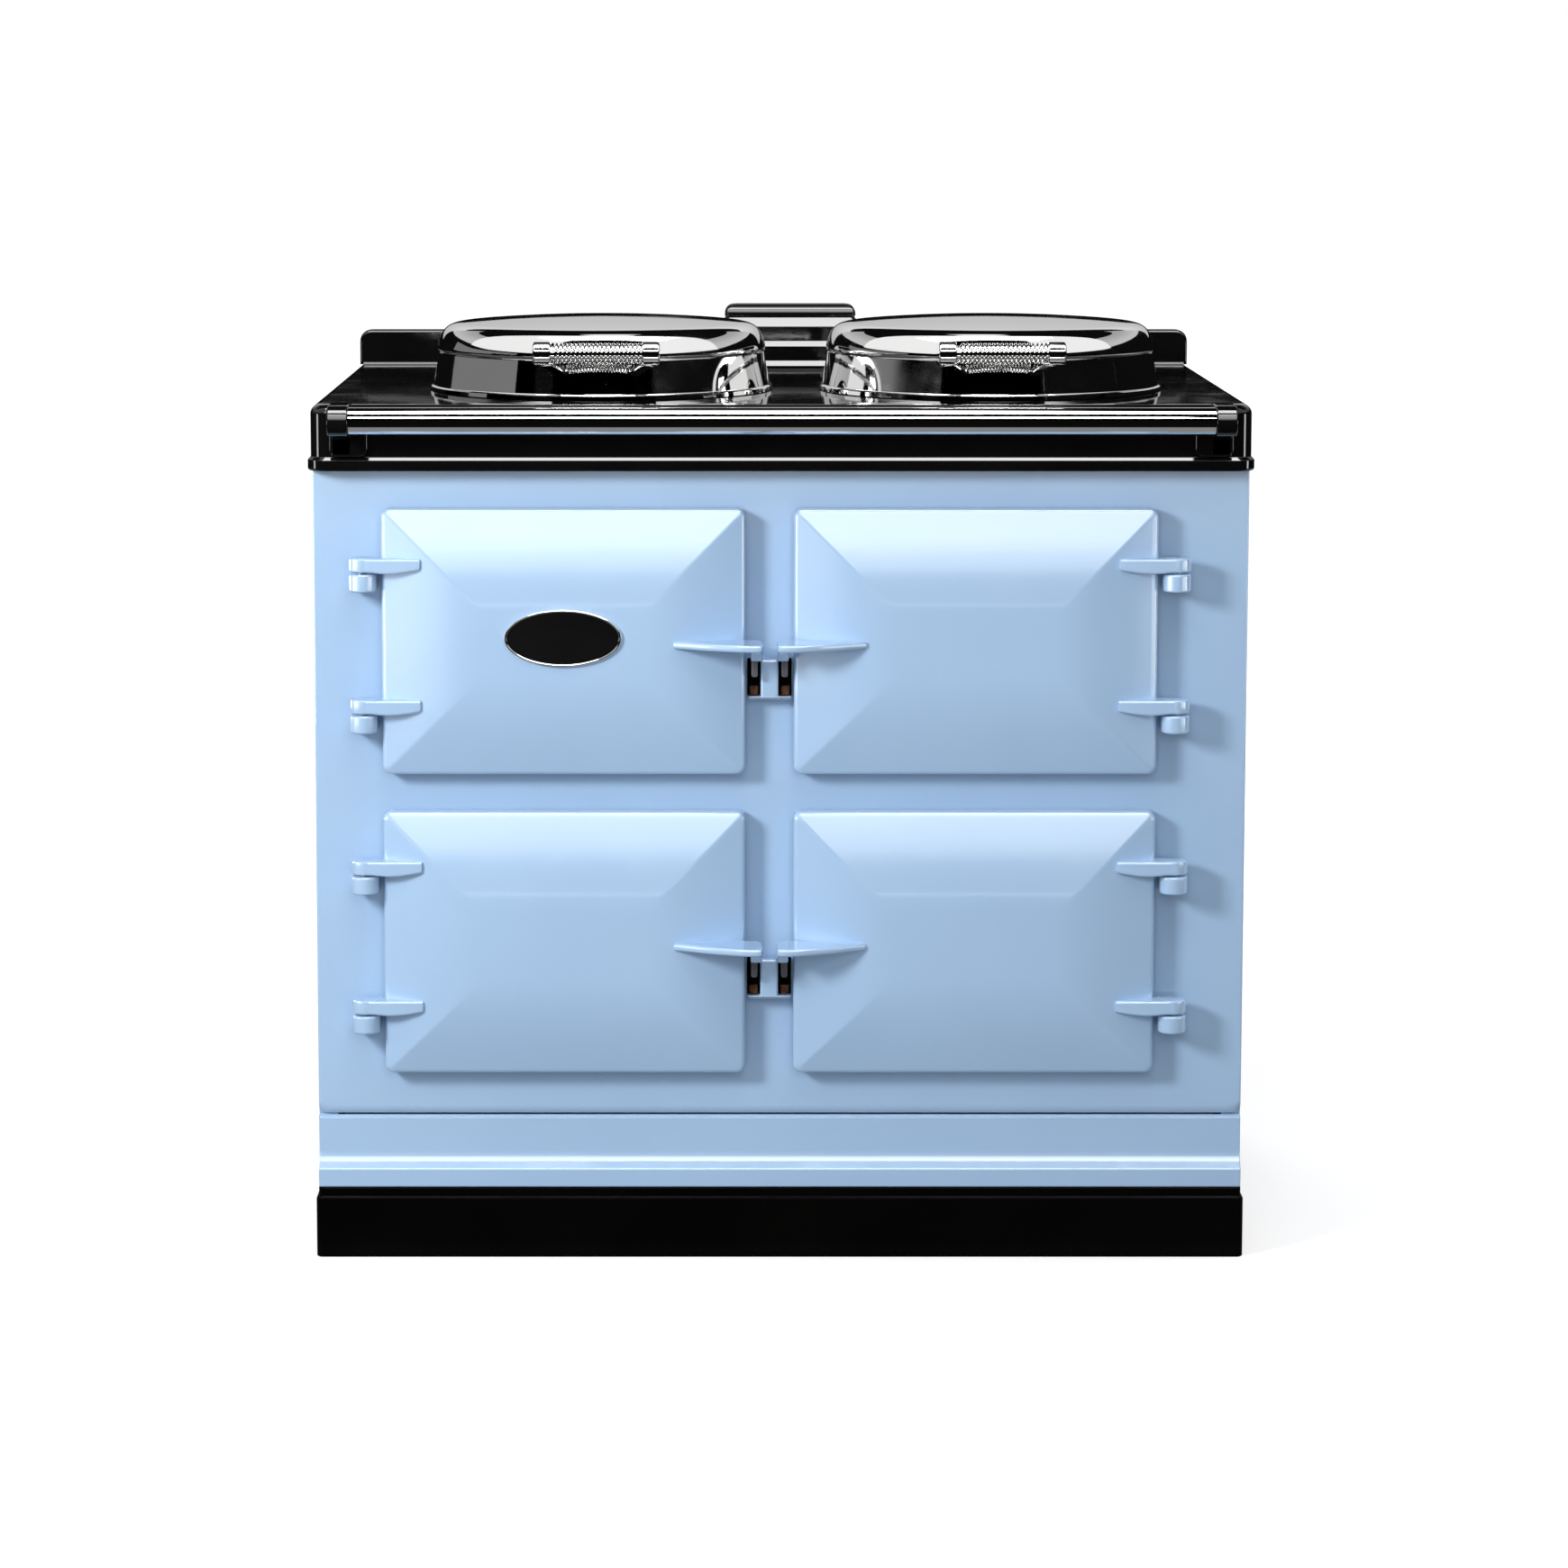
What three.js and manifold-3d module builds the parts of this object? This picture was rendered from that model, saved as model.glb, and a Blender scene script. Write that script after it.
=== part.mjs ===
// A cast iron heat-storage range cooker with four doors and two lidded hotplates.
// Millimetres, +Z up, the doors face -Y, and X = 0 is the middle of the body.
// The pieces are laid out from the front plate's outer face, y = 0, and the whole group is
// shifted along Y at the end, so that the origin is under the middle of the cooker, on the floor.
import * as THREE from 'three';
import { mergeVertices } from 'three/addons/utils/BufferGeometryUtils.js';
import Module from 'manifold-3d';

const wasm = await Module();
wasm.setup();

// ---------------------------------------------------------------- driving dimensions
const SEAT = 0.3; // gap between two pieces that sit on each other
const RUN = 0.5; // radial clearance of a pin in its bore

// Doors, seen from the front
const DOOR_W = 380;
const DOOR_H = 280;
const DOOR_GAP = 50.5; // between the left and the right doors
const DOOR_ROW_GAP = 39; // between the upper and the lower doors
const SIDE_MARGIN_LEFT = 73; // from the body's left side to the left doors
const SIDE_MARGIN_RIGHT = 96.5;
const MARGIN_ABOVE_DOORS = 39;
const MARGIN_BELOW_DOORS = 50;

// Door shells, from the front plate outwards
const DOOR_STAND_OFF = 4; // the rope seal's thickness
const DOOR_EDGE_T = 22; // the door's edge
const DOOR_CROWN = 19.5; // how far the pillow stands out of the edge
const PILLOW_RUN = 104; // from the edge to the flat middle
const DOOR_CORNER_R = 9;
const DOOR_EDGE_R = 6;
const DOOR_WALL = 8;
const PLUG_DEPTH = 35; // how far an oven door's inner pan reaches into the oven
const PANEL_PLUG_DEPTH = 12; // and that of the door in front of the controls
const PLUG_CLEARANCE = 12;
const PAN_T = 2;

// Plinth, skirting and carcass
const PLINTH_H = 75;
const PLINTH_WALL = 14;
const PLINTH_PROUD = 3;
const PLINTH_CHAMFER_H = 12;
const SKIRT_H = 74;
const SKIRT_PROUD = 8;
const SKIRT_FOOT_H = 19; // the proud band at the bottom
const SKIRT_LEDGE_H = 13; // the slope over it
const SKIRT_SET_BACK = 1;
const GROOVE_H = 4; // between the skirting and the front plate
const FRONT_ROLL_R = 10; // the front plate's rolled bottom edge
const FRONT_T = 8;
const PANEL_T = 4;
const PANEL_RETURN = 20;
const REAR_LAGGING = 148; // from the ovens' backs to the rear panel
const LAGGING_MARGIN = 25;
const FRAME_H = 25;
const FRAME_RAIL_W = 50;
const FOOT_PAD_R = 20;
const FOOT_STEM_R = 9;
const FOOT_CLEARANCE = 4; // from a foot's pad to the plinth
const INLET_R = 10; // supply cable inlet in the rear panel
const INLET_BOSS_T = 7;

// Ovens
const OVEN_DEPTH = 480;
const OVEN_WALL = 6;
const OVEN_LIP_X = 2.5; // the liner is this much wider than its mouth, each side
const OVEN_LIP_Z = 5;
const MOUTH_MARGIN = 20; // from a door's edge to the oven's mouth
const MOUTH_R = 12;
const RUNNER_W = 9;
const RUNNER_T = 4;
const RUNNER_BELOW_MIDDLE = 40;
const SHELF_T = 6;
const SHELF_BAR = 7;
const SHELF_BARS = 9;
const PANEL_SET_BACK = 52; // from the front plate to the control fascia
const PANEL_BODY_T = 18;

// Top plate
const TOP_H = 69; // from the rim's underside to the cooking surface
const TOP_FRONT = 24; // the front face ahead of the front plate
const TOP_SIDE = 0.5; // the side face beyond the body
const TOP_REAR = 10;
const TOP_RIM_H = 14;
const TOP_RIM_PROUD = 3;
const TOP_T = 8;
const TOP_ROLL_R = 10;
const TOP_CORNER_R = 20;
const TOP_WALL = 15;
const TOP_FRONT_WALL = 28;

// Hotplates and lids
const HOB_OFFSET = 19; // the pair of hotplates stands this far right of the middle
const HOTPLATE_R = 176;
const HOTPLATE_PROUD = 2.5;
const HOTPLATE_T = 50;
const HOTPLATE_GAP = 2.5;
const LID_WALL = 4;
const LID_FLANGE = 4;
const LID_WALL_H = 41;
const LID_APEX_H = 80;
const LID_FRONT = 28; // from the front plate's face back to the lids' front edge
const LID_GAP = 50; // between the two lids
const LID_SIDES = 32;
const LID_PIVOT_BACK = 10; // the hinge pin behind the lid's flange
const LID_PIVOT_H = 15;
const LID_PIN_R = 4;
const LID_KNUCKLE_R = 8;
const LID_LUG_W = 40;
const LID_EAR_W = 14;
const LID_EAR_GAP = 1;

// Coil-wound lid handle
const COIL_CURLS = 20;
const COIL_LENGTH = 94;
const COIL_OUTER_R = 11;
const WIRE_R = 1.6;
const COIL_STEPS = 8;
const COIL_SIDES = 5;
const COIL_CORE_R = 6.4;
const COIL_H = 52; // the handle's axis above the top plate
const COIL_FORWARD = 26; // the handle's axis ahead of the lid's flange
const YOKE_POST_W = 19;
const YOKE_POST_R = 12;

// Splashback and vent
const SPLASH_W = 975;
const SPLASH_H = 41;
const SPLASH_T = 20;
const SPLASH_R = 14;
const SPLASH_FROM_REAR = 35;
const VENT_W = 167;
const VENT_D = 40;
const VENT_BODY_H = 47;
const VENT_HIP_H = 12;
const VENT_HIP_IN = 9;
const VENT_DOME_H = 14;
const VENT_BAND_H = 6;
const VENT_BAND_PROUD = 2;

// Hand rail
const RAIL_R = 14;
const RAIL_WALL = 1.5;
const RAIL_FORWARD = 70; // the rail's axis ahead of the front plate
const RAIL_BELOW_TOP = 13; // and below the cooking surface
const BRACKET_W = 22;
const BRACKET_FOOT_W = 40;
const BRACKET_FOOT_H = 30;
const BRACKET_FOOT_D = 18;
const BRACKET_CHEEK = 2; // the bracket's head stands this far round the rail
const BRACKET_FROM_SIDE = 21.2; // from the top plate's side to the bracket's foot

// Door hinges, handles and catches
const PIN_FROM_EDGE = 19; // from the door's edge to the hinge pin
const PIN_FORWARD = 28; // from the front plate to the hinge pin
const PIN_R = 5;
const KNUCKLE_R = 14.5;
const ARM_H = 14.6;
const ARM_REACH = 61;
const ARM_FRONT = 42.5;
const ARM_ABOVE_MIDDLE = 82;
const ARM_BELOW_MIDDLE = 66.5;
const BRACKET_H = 19;
const HINGE_GAP = 2;
const PIN_RISE = 12;
const FIN_T = 7.5;
const FIN_LENGTH = 93;
const FIN_OVERHANG = 18;
const FIN_REACH = 80; // from the front plate to the fin's widest point
const FIN_BELOW_MIDDLE = 0.5;
const GUSSET_H = 14;
const LATCH_FROM_EDGE = 5.5; // from the door's edge to the latch tongue
const LATCH_T = 8;
const LATCH_DROP = 32; // from the fin down to the foot of the tongue
const LATCH_HEAD_H = 16;
const LATCH_STOP = 7; // the latch tongue stops this far short of the front plate
const KEEPER_SIDE_GAP = 2;
const KEEPER_H = 42;
const KEEPER_PROUD = 18;
const KEEPER_RIB_W = 19;
const KEEPER_BACK = 4;
const KEEPER_RIM = 3;

// Badge plaque
const BADGE_W = 122;
const BADGE_H = 60;
const BADGE_T = 4;
const BADGE_ABOVE_MIDDLE = 7;

// ---------------------------------------------------------------- sizes that follow
const BODY_W = SIDE_MARGIN_LEFT + DOOR_W + DOOR_GAP + DOOR_W + SIDE_MARGIN_RIGHT;
const HALF_W = BODY_W / 2;
const BODY_D = FRONT_T + OVEN_DEPTH + REAR_LAGGING + PANEL_T;
const FRAME_TOP = PLINTH_H + FRAME_H;
const SKIRT_TOP = PLINTH_H + SKIRT_H;
const FRONT_BOTTOM = SKIRT_TOP + GROOVE_H;
const FRONT_TOP = FRONT_BOTTOM + MARGIN_BELOW_DOORS + 2 * DOOR_H + DOOR_ROW_GAP + MARGIN_ABOVE_DOORS;
const HOB_TOP = FRONT_TOP + TOP_H;
const LOWER_DOOR_Z = FRONT_BOTTOM + MARGIN_BELOW_DOORS + DOOR_H / 2;
const UPPER_DOOR_Z = LOWER_DOOR_Z + DOOR_H + DOOR_ROW_GAP;
const LEFT_DOOR_X = -HALF_W + SIDE_MARGIN_LEFT + DOOR_W / 2;
const RIGHT_DOOR_X = HALF_W - SIDE_MARGIN_RIGHT - DOOR_W / 2;
const DOOR_GAP_X = LEFT_DOOR_X + DOOR_W / 2 + DOOR_GAP / 2;
const MOUTH_W = DOOR_W - 2 * MOUTH_MARGIN;
const MOUTH_H = DOOR_H - 2 * MOUTH_MARGIN;
const OVEN_W = MOUTH_W + 2 * OVEN_LIP_X;
const OVEN_H = MOUTH_H + 2 * OVEN_LIP_Z;
const DOOR_BACK = -DOOR_STAND_OFF;
const DOOR_SHOULDER = DOOR_BACK - DOOR_EDGE_T;
const DOOR_FACE = DOOR_SHOULDER - DOOR_CROWN;
const LAGGING_TOP = HOB_TOP - TOP_T - SEAT;
const LID_R = HOTPLATE_R + HOTPLATE_GAP + LID_WALL + LID_FLANGE;
const LID_Y = LID_FRONT + LID_R;
const LID_SPACING = 2 * LID_R + LID_GAP;
const SPLASH_Y = BODY_D - SPLASH_FROM_REAR;

// ---------------------------------------------------------------- finishes
const finish = (color, roughness, metalness) => new THREE.MeshStandardMaterial({
  color, roughness, metalness,
});
const BLUE_ENAMEL = finish(0xa8c9ea, 0.22, 0);
const BLACK_ENAMEL = finish(0x0b0b0c, 0.12, 0);
const BLACK_PAINT = finish(0x080808, 0.5, 0);
const CHROME = finish(0xe6e6e6, 0.08, 1);
const CAST_IRON = finish(0x2c2c2e, 0.6, 0.6);
const STEEL = finish(0x9a9a9c, 0.4, 0.9);
const LAGGING = finish(0xb9ab8c, 0.95, 0);

// ---------------------------------------------------------------- shaping helpers
const X = new THREE.Vector3(1, 0, 0);
const Y = new THREE.Vector3(0, 1, 0);
const Z = new THREE.Vector3(0, 0, 1);

const move = (shape, x, y, z) => shape.translate(x, y, z);

// Six times a closed mesh's volume, negative where its faces point inwards.
function signedVolume(geometry) {
  const p = geometry.getAttribute('position');
  const index = geometry.getIndex();
  const corners = [new THREE.Vector3(), new THREE.Vector3(), new THREE.Vector3()];
  let sum = 0;
  for (let i = 0; i < index.count; i += 3) {
    corners.forEach((corner, k) => corner.fromBufferAttribute(p, index.getX(i + k)));
    sum += corners[0].dot(corners[1].clone().cross(corners[2]));
  }
  return sum;
}

// Turns every face of an indexed mesh over if they point inwards.
function facingOut(geometry) {
  if (signedVolume(geometry) > 0) return geometry;
  const index = geometry.getIndex();
  for (let i = 0; i < index.count; i += 3) {
    const second = index.getX(i + 1);
    index.setX(i + 1, index.getX(i + 2));
    index.setX(i + 2, second);
  }
  return geometry;
}

function box(x0, x1, y0, y1, z0, z1) {
  const shape = new THREE.BoxGeometry(x1 - x0, y1 - y0, z1 - z0);
  return move(shape, (x0 + x1) / 2, (y0 + y1) / 2, (z0 + z1) / 2);
}

// A closed skin over a pile of outlines that all have the same number of points.
function skin(outlines) {
  const count = outlines[0].length;
  const faces = [];
  for (let row = 0; row + 1 < outlines.length; row += 1) {
    for (let k = 0; k < count; k += 1) {
      const a = row * count + k;
      const b = row * count + ((k + 1) % count);
      faces.push(a, b, b + count, a, b + count, a + count);
    }
  }
  const last = (outlines.length - 1) * count;
  for (let k = 1; k + 1 < count; k += 1) {
    faces.push(0, k + 1, k, last, last + k, last + k + 1);
  }
  const geometry = new THREE.BufferGeometry();
  geometry.setAttribute('position', new THREE.Float32BufferAttribute(outlines.flat(2), 3));
  geometry.setIndex(faces);
  return facingOut(geometry);
}

// Corner points [u, v] of a rectangle with rounded corners, `steps` flats to a corner.
function roundedRectangle(u0, u1, v0, v1, radius, steps = 4) {
  const points = [];
  const centres = [[u1 - radius, v1 - radius], [u0 + radius, v1 - radius],
    [u0 + radius, v0 + radius], [u1 - radius, v0 + radius]];
  centres.forEach(([u, v], quarter) => {
    for (let k = 0; k <= steps; k += 1) {
      const angle = (quarter + k / steps) * Math.PI / 2;
      points.push([u + radius * Math.cos(angle), v + radius * Math.sin(angle)]);
    }
  });
  return points;
}

// Extrudes an outline of [u, v] points, with holes, in the plane of two axes.
function plate(outline, holes, uAxis, vAxis, depth) {
  const shape = new THREE.Shape(outline.map(([u, v]) => new THREE.Vector2(u, v)));
  holes.forEach((hole) => {
    shape.holes.push(new THREE.Path(hole.map(([u, v]) => new THREE.Vector2(u, v))));
  });
  const geometry = new THREE.ExtrudeGeometry(shape, { depth, bevelEnabled: false });
  const depthAxis = uAxis.clone().cross(vAxis);
  return geometry.applyMatrix4(new THREE.Matrix4().makeBasis(uAxis, vAxis, depthAxis));
}

// Along X from x0 to x1, an outline of [y, z] points.
const alongX = (outline, x0, x1, holes = []) => move(plate(outline, holes, Y, Z, x1 - x0), x0, 0, 0);
// Along Y from y0 to y1, an outline of [x, z] points.
const alongY = (outline, y0, y1, holes = []) => move(plate(outline, holes, X, Z, y1 - y0), 0, y1, 0);
// Along Z from z0 to z1, an outline of [x, y] points.
const alongZ = (outline, z0, z1, holes = []) => move(plate(outline, holes, X, Y, z1 - z0), 0, 0, z0);

// A solid of revolution about Z from [radius, z] points, which start and end on the axis
// or close on themselves.
function turned(profile, sides) {
  const points = profile.map(([radius, z]) => new THREE.Vector2(radius, z));
  return new THREE.LatheGeometry(points, sides).rotateX(Math.PI / 2);
}

const rod = (radius, z0, z1, sides) => turned([[0, z0], [radius, z0], [radius, z1], [0, z1]], sides);
const rodAlongX = (radius, x0, x1, sides) => rod(radius, x0, x1, sides).rotateY(Math.PI / 2);

function welded(geometry) {
  const copy = geometry.clone();
  copy.deleteAttribute('normal');
  copy.deleteAttribute('uv');
  const merged = mergeVertices(copy, 1e-4);
  const index = merged.getIndex();
  const kept = [];
  for (let i = 0; i < index.count; i += 3) {
    const [a, b, c] = [index.getX(i), index.getX(i + 1), index.getX(i + 2)];
    if (a !== b && b !== c && c !== a) kept.push(a, b, c);
  }
  merged.setIndex(kept);
  return facingOut(merged);
}

function solid(geometry) {
  const merged = welded(geometry);
  return new wasm.Manifold(new wasm.Mesh({
    numProp: 3,
    vertProperties: new Float32Array(merged.getAttribute('position').array),
    triVerts: new Uint32Array(merged.getIndex().array),
  }));
}

function skinOf(manifold) {
  const cut = manifold.getMesh();
  const geometry = new THREE.BufferGeometry();
  geometry.setAttribute('position', new THREE.Float32BufferAttribute(cut.vertProperties, 3));
  geometry.setIndex(new THREE.Uint32BufferAttribute(cut.triVerts, 1));
  return geometry;
}

// Joins the first list of shapes and takes the second list away.
function built(joined, removed = []) {
  const whole = joined.map(solid).reduce((sum, next) => sum.add(next));
  return skinOf(removed.map(solid).reduce((sum, next) => sum.subtract(next), whole));
}

const mirrored = (geometry) => facingOut(welded(geometry).scale(-1, 1, 1));

const cooker = new THREE.Group();

function add(parent, name, geometry, material) {
  const piece = new THREE.Mesh(welded(geometry), material);
  piece.name = name;
  parent.add(piece);
  return piece;
}

function groupAt(x, y, z) {
  const group = new THREE.Group();
  group.position.set(x, y, z);
  cooker.add(group);
  return group;
}

// ---------------------------------------------------------------- base
function plinth() {
  const outer = (inset) => roundedRectangle(
    -HALF_W - PLINTH_PROUD + inset,
    HALF_W + PLINTH_PROUD - inset,
    -SKIRT_PROUD - PLINTH_PROUD + inset,
    BODY_D - inset,
    6,
    2,
  );
  const level = (z, inset) => outer(inset).map(([x, y]) => [x, y, z]);
  const body = skin([
    level(0, 0),
    level(PLINTH_H - PLINTH_CHAMFER_H, 0),
    level(PLINTH_H - PLINTH_CHAMFER_H + 3, PLINTH_PROUD - 0.5),
    level(PLINTH_H, PLINTH_PROUD - 0.5),
  ]);
  const inside = box(
    -HALF_W - PLINTH_PROUD + PLINTH_WALL,
    HALF_W + PLINTH_PROUD - PLINTH_WALL,
    -SKIRT_PROUD - PLINTH_PROUD + PLINTH_WALL,
    BODY_D - PLINTH_WALL,
    -1,
    PLINTH_H + 1,
  );
  add(cooker, 'plinth', built([body], [inside]), BLACK_PAINT);
}

const FRAME_X = HALF_W - PANEL_T - 6;
const FRAME_FRONT = FRONT_T + SEAT;
const FRAME_REAR = BODY_D - PANEL_T - SEAT;

function baseFrame() {
  const outline = roundedRectangle(-FRAME_X, FRAME_X, FRAME_FRONT, FRAME_REAR, 1, 1);
  const bays = [-1, 1].map((side) => {
    const inner = FRAME_RAIL_W / 2 * side;
    const outer = (FRAME_X - FRAME_RAIL_W) * side;
    return roundedRectangle(
      Math.min(inner, outer),
      Math.max(inner, outer),
      FRAME_FRONT + FRAME_RAIL_W,
      FRAME_REAR - FRAME_RAIL_W,
      1,
      1,
    );
  });
  add(cooker, 'base_frame', alongZ(outline, PLINTH_H, FRAME_TOP, bays), STEEL);
}

function foot(name, x, y) {
  const profile = [
    [0, 0], [FOOT_PAD_R, 0], [FOOT_PAD_R, 10], [FOOT_STEM_R, 14],
    [FOOT_STEM_R, PLINTH_H - SEAT], [0, PLINTH_H - SEAT],
  ];
  const piece = add(cooker, name, turned(profile, 12), STEEL);
  piece.position.set(x, y, 0);
}

function feet() {
  const inset = PLINTH_WALL + FOOT_PAD_R + FOOT_CLEARANCE;
  const x = HALF_W + PLINTH_PROUD - inset;
  const front = -SKIRT_PROUD - PLINTH_PROUD + inset;
  const rear = BODY_D - inset;
  foot('foot_front_left', -x, front);
  foot('foot_front_right', x, front);
  foot('foot_rear_left', -x, rear);
  foot('foot_rear_right', x, rear);
}

function skirting() {
  const foot0 = PLINTH_H + SEAT;
  const ledge = foot0 + SKIRT_FOOT_H;
  const profile = [
    [FRONT_T, foot0],
    [-SKIRT_PROUD, foot0],
    [-SKIRT_PROUD, ledge],
    [-SKIRT_PROUD + 2, ledge + 3],
    [SKIRT_SET_BACK, ledge + SKIRT_LEDGE_H],
    [SKIRT_SET_BACK, SKIRT_TOP - 4],
    [SKIRT_SET_BACK + 2, SKIRT_TOP - 1],
    [FRONT_T, SKIRT_TOP],
  ];
  add(cooker, 'skirting', alongX(profile, -HALF_W, HALF_W), BLUE_ENAMEL);
}

// ---------------------------------------------------------------- carcass
const doorPlaces = [
  { row: 'upper', side: 'left', x: LEFT_DOOR_X, z: UPPER_DOOR_Z },
  { row: 'upper', side: 'right', x: RIGHT_DOOR_X, z: UPPER_DOOR_Z },
  { row: 'lower', side: 'left', x: LEFT_DOOR_X, z: LOWER_DOOR_Z },
  { row: 'lower', side: 'right', x: RIGHT_DOOR_X, z: LOWER_DOOR_Z },
];

function frontPlate() {
  const roll = FRONT_ROLL_R * Math.min(1, (FRONT_T - 1) / FRONT_ROLL_R);
  const profile = [[FRONT_T, FRONT_TOP - SEAT], [0, FRONT_TOP - SEAT]];
  for (let k = 0; k <= 4; k += 1) {
    const angle = k / 4 * Math.PI / 2;
    const y = roll * (1 - Math.cos(angle));
    profile.push([y, FRONT_BOTTOM + FRONT_ROLL_R * (1 - Math.sin(angle))]);
  }
  profile.push([FRONT_T, FRONT_BOTTOM]);
  const blank = alongX(profile, -HALF_W, HALF_W);
  const mouths = doorPlaces.map(({ x, z }) => alongY(
    roundedRectangle(x - MOUTH_W / 2, x + MOUTH_W / 2, z - MOUTH_H / 2, z + MOUTH_H / 2, MOUTH_R, 3),
    -1,
    FRONT_T + 1,
  ));
  add(cooker, 'front_plate', built([blank], mouths), BLUE_ENAMEL);
}

function sidePanel(name, side) {
  const outer = HALF_W * side;
  const inner = (HALF_W - PANEL_T) * side;
  const tip = (HALF_W - PANEL_RETURN) * side;
  const front = FRONT_T + SEAT;
  const rear = BODY_D - PANEL_T - SEAT;
  const outline = [
    [outer, front], [outer, rear], [tip, rear], [tip, rear - PANEL_T],
    [inner, rear - PANEL_T], [inner, front + PANEL_T], [tip, front + PANEL_T], [tip, front],
  ];
  const panel = alongZ(outline, PLINTH_H + SEAT, FRONT_TOP - SEAT);
  const frameNotch = box(-FRAME_X - SEAT, FRAME_X + SEAT, 0, BODY_D, 0, FRAME_TOP + SEAT);
  add(cooker, name, built([panel], [frameNotch]), BLUE_ENAMEL);
}

function rearPanel() {
  const outline = roundedRectangle(-HALF_W, HALF_W, PLINTH_H + SEAT, FRONT_TOP - SEAT, 3, 1);
  const sheet = alongY(outline, BODY_D - PANEL_T, BODY_D);
  const x = HALF_W - 110;
  const z = FRAME_TOP + 60;
  const standing = (shape) => move(shape.rotateX(-Math.PI / 2), x, BODY_D, z);
  const boss = standing(rod(INLET_R + 8, -PANEL_T, INLET_BOSS_T, 16));
  const hole = standing(rod(INLET_R, -PANEL_T - 1, INLET_BOSS_T + 1, 16));
  add(cooker, 'rear_panel', built([sheet, boss], [hole]), STEEL);
}

function lagging() {
  const side = HALF_W - LAGGING_MARGIN;
  const front = FRONT_T + LAGGING_MARGIN;
  const rear = BODY_D - PANEL_T - SEAT;
  const block = box(-side, side, front, rear, FRAME_TOP + SEAT, LAGGING_TOP);
  const ovens = doorPlaces.map(({ x, z }) => {
    const grow = OVEN_WALL + SEAT;
    const deep = FRONT_T + OVEN_DEPTH + SEAT;
    return box(x - OVEN_W / 2 - grow, x + OVEN_W / 2 + grow, 0, deep,
      z - OVEN_H / 2 - grow, z + OVEN_H / 2 + grow);
  });
  const wells = [-1, 1].map((which) => move(
    rod(HOTPLATE_R + HOTPLATE_GAP, HOB_TOP + HOTPLATE_PROUD - HOTPLATE_T - SEAT, HOB_TOP, LID_SIDES),
    hobX(which),
    LID_Y,
    0,
  ));
  add(cooker, 'insulation_block', built([block], [...ovens, ...wells]), LAGGING);
}

// ---------------------------------------------------------------- ovens
function ovenLiner(name, x, z, material) {
  const front = FRONT_T + SEAT;
  const rear = FRONT_T + OVEN_DEPTH;
  const [w, h] = [OVEN_W / 2, OVEN_H / 2];
  const shell = box(-w - OVEN_WALL, w + OVEN_WALL, front, rear, -h - OVEN_WALL, h + OVEN_WALL);
  const inside = box(-w, w, front - 1, rear - OVEN_WALL, -h, h);
  const tray = built([shell], [inside]);
  const runners = [-1, 1].map((side) => {
    const wall = (w + 1) * side;
    const edge = (w - RUNNER_W) * side;
    return box(Math.min(wall, edge), Math.max(wall, edge), front + 12, rear - OVEN_WALL + 1,
      -RUNNER_BELOW_MIDDLE - RUNNER_T, -RUNNER_BELOW_MIDDLE);
  });
  const oven = add(cooker, name, built([tray, ...runners]), material);
  oven.position.set(x, 0, z);
}

function shelf(name, x, z) {
  const half = OVEN_W / 2 - 1.5;
  const front = FRONT_T + PLUG_DEPTH + 20;
  const rear = FRONT_T + OVEN_DEPTH - OVEN_WALL - 10;
  const outline = roundedRectangle(-half, half, front, rear, 4, 1);
  const pitch = (2 * half - SHELF_BAR) / SHELF_BARS;
  const slots = Array.from({ length: SHELF_BARS }, (_, k) => {
    const left = -half + SHELF_BAR + k * pitch;
    return roundedRectangle(left, left + pitch - SHELF_BAR, front + SHELF_BAR * 2,
      rear - SHELF_BAR * 2, 1, 1);
  });
  const grid = add(cooker, name, alongZ(outline, 0, SHELF_T, slots), CHROME);
  grid.position.set(x, 0, z - RUNNER_BELOW_MIDDLE + SEAT);
}

function controlPanel(x, z) {
  const [w, h] = [OVEN_W / 2, OVEN_H / 2];
  const front = FRONT_T + SEAT;
  const rear = FRONT_T + PANEL_SET_BACK + PANEL_BODY_T;
  const tray = box(-w - OVEN_WALL, w + OVEN_WALL, front, rear, -h - OVEN_WALL, h + OVEN_WALL);
  const recess = box(-w, w, front - 1, FRONT_T + PANEL_SET_BACK, -h, h);
  const panel = add(cooker, 'control_panel', built([tray], [recess]), BLACK_PAINT);
  panel.position.set(x, 0, z);
}

// ---------------------------------------------------------------- top plate
function hobX(which) {
  return HOB_OFFSET + which * LID_SPACING / 2;
}

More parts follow.
